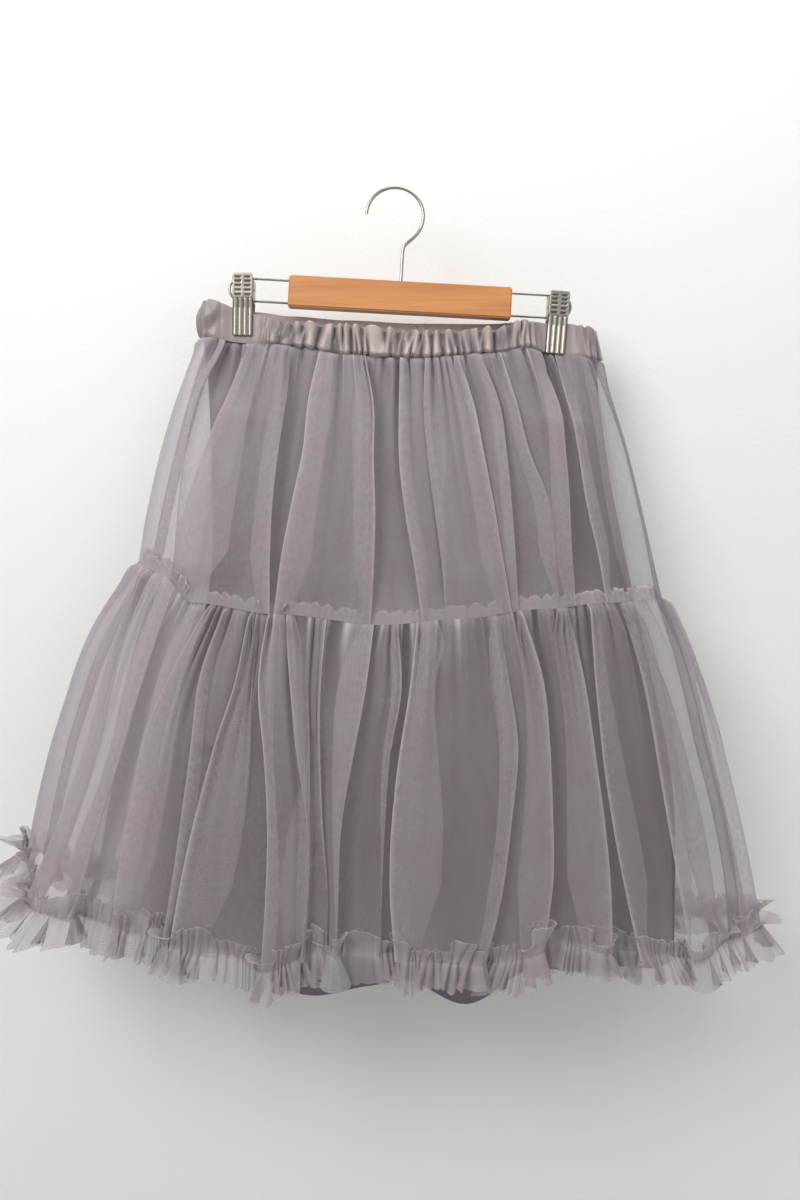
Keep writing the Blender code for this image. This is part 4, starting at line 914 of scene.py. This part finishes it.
# Double net with the overlock's thread: greyer and closer than one layer
side_seam_net = net_cloth("side_seam_net", "8B828A", 0.48, 0.25, 0.45, "756C74")
for tier_name, sheets in (("upper", upper_sheets), ("lower", lower_sheets)):
    for side_name, front_end, back_end, step in (("right", -1, 0, 1), ("left", 0, -1, -1)):
        front_edge = sheets["front"][:, front_end]
        strips = [row[::step][:60] for row in sheets["back"]]
        rows = []
        for part in np.linspace(0.0, 1.0, SEAM_LINES):
            behind = np.array([0.0, -SEAM_BEHIND * (0.4 + part), 0.0])
            line = [points_at(strip, run_lengths(strip), SEAM_ALLOWANCE * part) + behind for strip in strips]
            rows.append(np.array(line) + (front_edge - sheets["back"][:, back_end]) * (1.0 - part))
        rows = np.array(rows).transpose(1, 0, 2)[:, ::step]
        lengths = run_lengths(front_edge)
        across = np.linspace(0.0, SEAM_ALLOWANCE, SEAM_LINES)[None, :]
        edges = np.abs(np.linspace(-1.0, 1.0, SEAM_LINES))[None, :] ** 4
        cloth_sheet(f"{tier_name}_side_seam_{side_name}_net", rows, across, lengths[:, None], side_seam_net,
                    {"crease": edges})

# Sewing thread
# Mauve polyester thread, a lockstitch 2.7 mm long. One row holds the waistband's casing, one
# each tier seam and one the middle of the ruffle. Each stitch sinks in at both ends.
STITCH = 0.0027
THREAD = 0.00042
STITCH_SEED = 7


def path_mesh(name, points):
    """An object with one line of edges through the points."""
    mesh = bpy.data.meshes.new(name)
    mesh.from_pydata([tuple(p) for p in points], [(i, i + 1) for i in range(len(points) - 1)], [])
    return placed(name, mesh)


def new_rule(name, inputs):
    """An empty node tree for a piece that a rule makes, with its input node."""
    rule = bpy.data.node_groups.new(name, "GeometryNodeTree")
    rule.interface.new_socket(name="Geometry", in_out="OUTPUT", socket_type="NodeSocketGeometry")
    rule.interface.new_socket(name="Path", in_out="INPUT", socket_type="NodeSocketGeometry")
    for label, kind in inputs:
        rule.interface.new_socket(name=label, in_out="INPUT", socket_type=kind)
    return rule, add_node(rule, "NodeGroupInput").outputs


def grow(rule, made, material, source, values):
    """Run the rule on the source and keep its result as a plain mesh object."""
    real = add_node(rule, "GeometryNodeRealizeInstances", {"Geometry": made})
    painted = add_node(rule, "GeometryNodeSetMaterial", {"Geometry": real.outputs[0], "Material": material})
    add_node(rule, "NodeGroupOutput", {"Geometry": painted.outputs[0]})
    modifier = source.modifiers.new(rule.name, "NODES")
    modifier.node_group = rule
    for item in rule.interface.items_tree:
        if item.in_out == "INPUT" and item.name in values:
            modifier[item.identifier] = values[item.name]
    bpy.context.view_layer.update()
    mesh = bpy.data.meshes.new_from_object(source.evaluated_get(bpy.context.evaluated_depsgraph_get()))
    source.modifiers.clear()
    name = source.name
    bpy.data.objects.remove(source, do_unlink=True)
    mesh.name = name
    mesh.shade_smooth()
    piece = placed(name, mesh)
    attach(piece, "root")
    return piece


# Spun thread: mauve-grey, a little shiny, with the twist of its plies
thread, tree = empty_material("polyester_thread")
place = add_node(tree, "ShaderNodeTexCoord").outputs["Object"]
ply = add_node(tree, "ShaderNodeTexWave", {"Vector": place, "Scale": 900.0, "Distortion": 1.0}).outputs["Fac"]
relief = add_node(tree, "ShaderNodeBump", {"Height": ply, "Distance": 0.0001, "Strength": 0.5})
end_material(thread, add_node(tree, "ShaderNodeBsdfPrincipled", {
    "Base Color": linear("8F858C"), "Roughness": 0.55, "Sheen Weight": 0.3, "Normal": relief}))


def stitch_row(name, points):
    """Stitches set along the points, one every STITCH metres."""
    rule, given = new_rule(name + "_rule", (("Pitch", "NodeSocketFloat"), ("Thickness", "NodeSocketFloat"),
                                            ("Seed", "NodeSocketInt")))
    line = add_node(rule, "GeometryNodeMeshToCurve", {"Mesh": given["Path"]})
    dots = add_node(rule, "GeometryNodeCurveToPoints", {"Curve": line, "Length": given["Pitch"]},
                    mode="LENGTH")
    bite = add_node(rule, "GeometryNodeMeshUVSphere", {"Segments": 6, "Rings": 4, "Radius": 0.5})
    turn = add_node(rule, "FunctionNodeAlignRotationToVector", {"Vector": dots.outputs["Tangent"]}, axis="Z")
    uneven = add_node(rule, "FunctionNodeRandomValue", {"Min": 0.9, "Max": 1.1, "Seed": given["Seed"]},
                      data_type="FLOAT")
    thick = add_node(rule, "ShaderNodeMath", {0: given["Thickness"], 1: uneven.outputs[1]},
                     operation="MULTIPLY")
    long = add_node(rule, "ShaderNodeMath", {0: given["Pitch"], 1: 0.86}, operation="MULTIPLY")
    size = add_node(rule, "ShaderNodeCombineXYZ", {0: thick, 1: thick, 2: long})
    sewn = add_node(rule, "GeometryNodeInstanceOnPoints",
                    {"Points": dots.outputs["Points"], "Instance": bite, "Rotation": turn, "Scale": size})
    values = {"Pitch": STITCH, "Thickness": THREAD, "Seed": STITCH_SEED}
    grow(rule, sewn.outputs[0], thread, path_mesh(name, points), values)


stitch_row("waistband_stitches", band_face)
for part_name in ("front", "back"):
    seam_line = upper_sheets[part_name][-1]
    stitch_row("tier_seam_stitches_" + part_name, seam_line + directions(seam_line)[1] * SEWN_INSIDE)
    stitch_row("ruffle_stitches_" + part_name, ruffle_lines[part_name])

# Wooden bar
# A squared bar of beech, cut along the grain, with eased edges and a thin orange-brown varnish.
# It is bored from above for the hook, and at both ends for the feet of the rods.
wood, tree = empty_material("varnished_beech")
place = add_node(tree, "ShaderNodeTexCoord").outputs["Object"]
along_grain = add_node(tree, "ShaderNodeMapping", {"Vector": place, "Scale": (6.0, 90.0, 130.0)})
grain = add_node(tree, "ShaderNodeTexNoise", {
    "Vector": along_grain, "Scale": 1.0, "Detail": 6.0, "Roughness": 0.6})
relief = add_node(tree, "ShaderNodeBump", {"Height": grain, "Distance": 0.0002, "Strength": 0.4})
ramp = add_node(tree, "ShaderNodeValToRGB", {"Fac": grain})
for stop, position, colour in zip(ramp.color_ramp.elements, (0.3, 0.72), ("BF7B49", "DA9A61")):
    stop.position = position
    stop.color = linear(colour)
end_material(wood, add_node(tree, "ShaderNodeBsdfPrincipled", {
    "Base Color": ramp, "Roughness": 0.38, "Coat Weight": 0.25, "Coat Roughness": 0.2,
    "Normal": relief,
}))

# Hook and rods
# Hard-drawn steel wire, nickel-plated. The hook is bent to an open crook and an S that goes
# down into the bar. Each rod is a hairpin pushed into the bar's end, and carries one clip.
TILT = math.radians(3.22)
BAR_CENTRE = Vector((0.0046, 0.0, -0.1002))
BAR_LENGTH = 0.2045
BAR_HEIGHT = 0.0285
HOOK_WIRE = 0.0030
HOOK_RADIUS = 0.0262
ROD_WIRE = 0.0023
ROD_SPREAD = 0.0206
ROD_REACH = 0.1582
FOOT_DEPTH = 0.014
WIRE_SIDES = 20
bar_place = Matrix.Translation(BAR_CENTRE) @ Matrix.Rotation(TILT, 4, "Y")


def polished(name, colour, scale, detail, dullest, brightest, grooves=None):
    """Plated metal, its gloss a little uneven, with painted shade that makes it duller and darker down in its
    grooves.
    """
    material, tree = empty_material(name)
    place = add_node(tree, "ShaderNodeTexCoord").outputs["Object"]
    wear = add_node(tree, "ShaderNodeTexNoise", {"Vector": place, "Scale": scale, "Detail": detail})
    gloss = add_node(tree, "ShaderNodeMapRange", {"Value": wear, "To Min": brightest, "To Max": dullest})
    tone = linear(colour)
    if grooves:
        # Painted shade: the colour turns darker where the groove mark is high
        groove = add_node(tree, "ShaderNodeAttribute", attribute_name="groove").outputs["Fac"]
        tone = add_node(tree, "ShaderNodeMix", {0: groove, 6: tone, 7: linear(grooves)},
                        data_type="RGBA").outputs[2]
    return end_material(material, add_node(tree, "ShaderNodeBsdfPrincipled",
                                           {"Base Color": tone, "Metallic": 1.0, "Roughness": gloss}))


# Nickel on drawn wire: greyish, brighter than on the pressed plates
wire_metal = polished("nickel_wire", "A9A6A1", 500.0, 3.0, 0.32, 0.15)


def wire_piece(name, points, thickness):
    """A round wire bent along the points, as one solid piece."""
    rule, given = new_rule(name + "_rule", (("Radius", "NodeSocketFloat"), ("Sides", "NodeSocketInt")))
    line = add_node(rule, "GeometryNodeMeshToCurve", {"Mesh": given["Path"]})
    ring = add_node(rule, "GeometryNodeCurvePrimitiveCircle",
                    {"Resolution": given["Sides"], "Radius": given["Radius"]})
    tube = add_node(rule, "GeometryNodeCurveToMesh", {"Curve": line, "Profile Curve": ring, "Fill Caps": True})
    piece = grow(rule, tube.outputs[0], wire_metal, path_mesh(name, points),
                 {"Radius": thickness * 0.5, "Sides": WIRE_SIDES})
    return piece


crook = []
for angle in np.radians(np.linspace(175.0, -48.0, 60)):
    crook.append(Vector((HOOK_RADIUS * math.cos(angle), 0.0,
                         HOOK_WIRE * 0.5 - HOOK_RADIUS + HOOK_RADIUS * math.sin(angle))))
stem_top = bar_place @ Vector((0.0, 0.0, BAR_HEIGHT * 0.5 + 0.022))
foot = bar_place @ Vector((0.0, 0.0, BAR_HEIGHT * 0.5 - FOOT_DEPTH))
arc_end = crook[-1]
leaving = arc_end + (crook[-1] - crook[-2]).normalized() * 0.012
arriving = stem_top + (stem_top - foot).normalized() * 0.014
for part in np.linspace(0.0, 1.0, 24)[1:]:
    rest = 1.0 - part
    crook.append(arc_end * rest ** 3 + leaving * (3.0 * rest * rest * part)
                 + arriving * (3.0 * rest * part * part) + stem_top * part ** 3)
crook += [stem_top.lerp(foot, part) for part in (0.33, 0.66, 1.0)]
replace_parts(wire_piece("hook", crook, HOOK_WIRE), "hook_wire")
for side_name, side in (("left", -1.0), ("right", 1.0)):
    half = ROD_SPREAD * 0.5
    foot_x = BAR_LENGTH * 0.5 - FOOT_DEPTH
    bend_x = ROD_REACH - half - ROD_WIRE * 0.5
    flat = [(foot_x, half), ((foot_x + bend_x) * 0.5, half)]
    for angle in np.radians(np.linspace(90.0, -90.0, 25)):
        flat.append((bend_x + half * math.cos(angle), half * math.sin(angle)))
    flat += [((foot_x + bend_x) * 0.5, -half), (foot_x, -half)]
    hairpin = [bar_place @ Vector((side * x, 0.0, z)) for x, z in flat]
    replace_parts(wire_piece("rod_wire_" + side_name, hairpin, ROD_WIRE), "rod_" + side_name)

# Clips
# Each clip is two pressed plates of nickel-plated steel that a spring closes round a pin.
# The front plate has four upright flutes below and a grip of short cross ridges above.
CLIP_WIDTH = 0.0185
CLIP_HEIGHT = 0.0566
CLIP_PLATE = 0.0010
CLIP_PROFILE = ((1.0, 0.0098), (0.293, 0.0080), (-0.095, 0.0064), (-1.0, 0.0060))
FLUTE_DEPTH = 0.0011
GRIP_FROM = 0.0065
GRIP_PITCH = 0.0040
CLIP_COLUMNS = 57
CLIP_LINES = 127
EAR_PIN_DOWN = 0.0125
EAR_INSET = 0.00165
EAR_HALF = 0.00045
# Pressed plate: bright nickel with a soft gloss, with painted shade that darkens it down in its grooves and
# slots
nickel = polished("nickel_plate", "B4AFA8", 240.0, 4.0, 0.46, 0.26, "66625D")
half = CLIP_HEIGHT * 0.5
x, z = np.meshgrid(np.linspace(-0.5, 0.5, CLIP_COLUMNS), np.linspace(half, -half, CLIP_LINES))
base = np.interp(z, [share * half for share, _ in CLIP_PROFILE][::-1], [y for _, y in CLIP_PROFILE][::-1])
flute = 0.5 - 0.5 * np.cos(2.0 * math.pi * (x + 0.5) * 4.0)
lower = ease((GRIP_FROM - z) / 0.0018)
in_slot = ease((0.170 - np.abs(np.abs(x) - 0.235)) / 0.045)
row_wave = 0.5 + 0.5 * np.cos(2.0 * math.pi * (z - GRIP_FROM - 0.0022) / GRIP_PITCH)
slot = in_slot * ease((row_wave - 0.42) / 0.3) * ease((half - 0.0026 - z) / 0.001)
raised = lower * flute ** 0.8 + (1.0 - lower) * (0.85 - 0.80 * slot)
bevel = np.minimum(1.0, (0.5 - np.abs(x)) / 0.03) ** 0.5
end_bevel = np.minimum(1.0, (half - np.abs(z)) / 0.0006) ** 0.5
out = base + CLIP_PLATE * (0.35 + 0.65 * bevel * end_bevel) + raised * FLUTE_DEPTH
width = CLIP_WIDTH * (1.0 - 0.035 * ease((z - half + 0.004) / 0.004))
# The corners of the jaw and of the lever are rounded
corner = np.maximum(0.0, np.abs(x) - 0.42) / 0.08
down = z - np.sign(z) * 0.0016 * corner ** 2 * (np.abs(z) > half - 0.004)
front = np.stack([x * width, -out, down], axis=-1)
behind = np.stack([x * width, -base, down], axis=-1)[:, ::-1]
rings = np.concatenate([front, behind, front[:, :1]], axis=1)
grooves = np.zeros(rings.shape[:2])
# Painted shade: the plate's colour darkens where it is not raised, in the flutes' hollows and the grip's slots
grooves[:, :CLIP_COLUMNS] = np.clip(1.0 - raised * 1.25, 0.0, 1.0) ** 1.3
index = np.arange(grooves.size).reshape(grooves.shape)
faces = np.stack([index[:-1, :-1], index[:-1, 1:], index[1:, 1:], index[1:, :-1]], axis=-1)
faces = faces.reshape(-1, 4).tolist() + [index[0, :-1][::-1].tolist(), index[-1, :-1].tolist()]
# Two ears go back from the plate and hold the pin
ear = [(-0.0085, -0.0032), (0.0005, -0.0028)]
ear += [(0.0005 + 0.0028 * math.sin(a), -0.0028 * math.cos(a)) for a in np.linspace(0.3, 2.84, 9)]
ear += [(0.0005, 0.0028), (-0.0085, 0.0032)]
for side_name, (clip_x, clip_z, clip_tilt) in zip(("left", "right"), CLIP_PLACES):
    place = Matrix.Translation((clip_x, 0.0, clip_z)) @ Matrix.Rotation(math.radians(clip_tilt), 4, "Y")
    mesh = bpy.data.meshes.new("clip_plate_" + side_name)
    mesh.from_pydata([tuple(place @ Vector(p)) for p in rings.reshape(-1, 3)], [], faces)
    values = grooves.reshape(-1).astype(np.float32)
    mesh.attributes.new("groove", "FLOAT", "POINT").data.foreach_set("value", values)
    work = bmesh.new()
    work.from_mesh(mesh)
    for end in (-1.0, 1.0):
        ear_x = end * (CLIP_WIDTH * 0.5 - EAR_INSET)
        sides = [[work.verts.new(place @ Vector((ear_x + edge * EAR_HALF, y, half - EAR_PIN_DOWN + up)))
                  for y, up in ear] for edge in (-1.0, 1.0)]
        for left in range(len(ear)):
            right = (left + 1) % len(ear)
            work.faces.new((sides[0][left], sides[0][right], sides[1][right], sides[1][left]))
        work.faces.new(sides[0][::-1])
        work.faces.new(sides[1])
    bmesh.ops.remove_doubles(work, verts=work.verts, dist=1e-6)
    bmesh.ops.recalc_face_normals(work, faces=work.faces)
    work.to_mesh(mesh)
    work.free()
    mesh.materials.append(nickel)
    mesh.shade_smooth()
    mesh.set_sharp_from_angle(angle=math.radians(40))
    pressed = placed("clip_plate_" + side_name, mesh)
    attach(pressed, "root")
    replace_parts(pressed, f"clip_{side_name}_front")
# The bar, the clips' back plates and the pins keep their solids
for name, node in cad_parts.items():
    if not node.hide_render:
        for holder in node.material_slots:
            holder.material = wood if name == "hanger_bar" else nickel
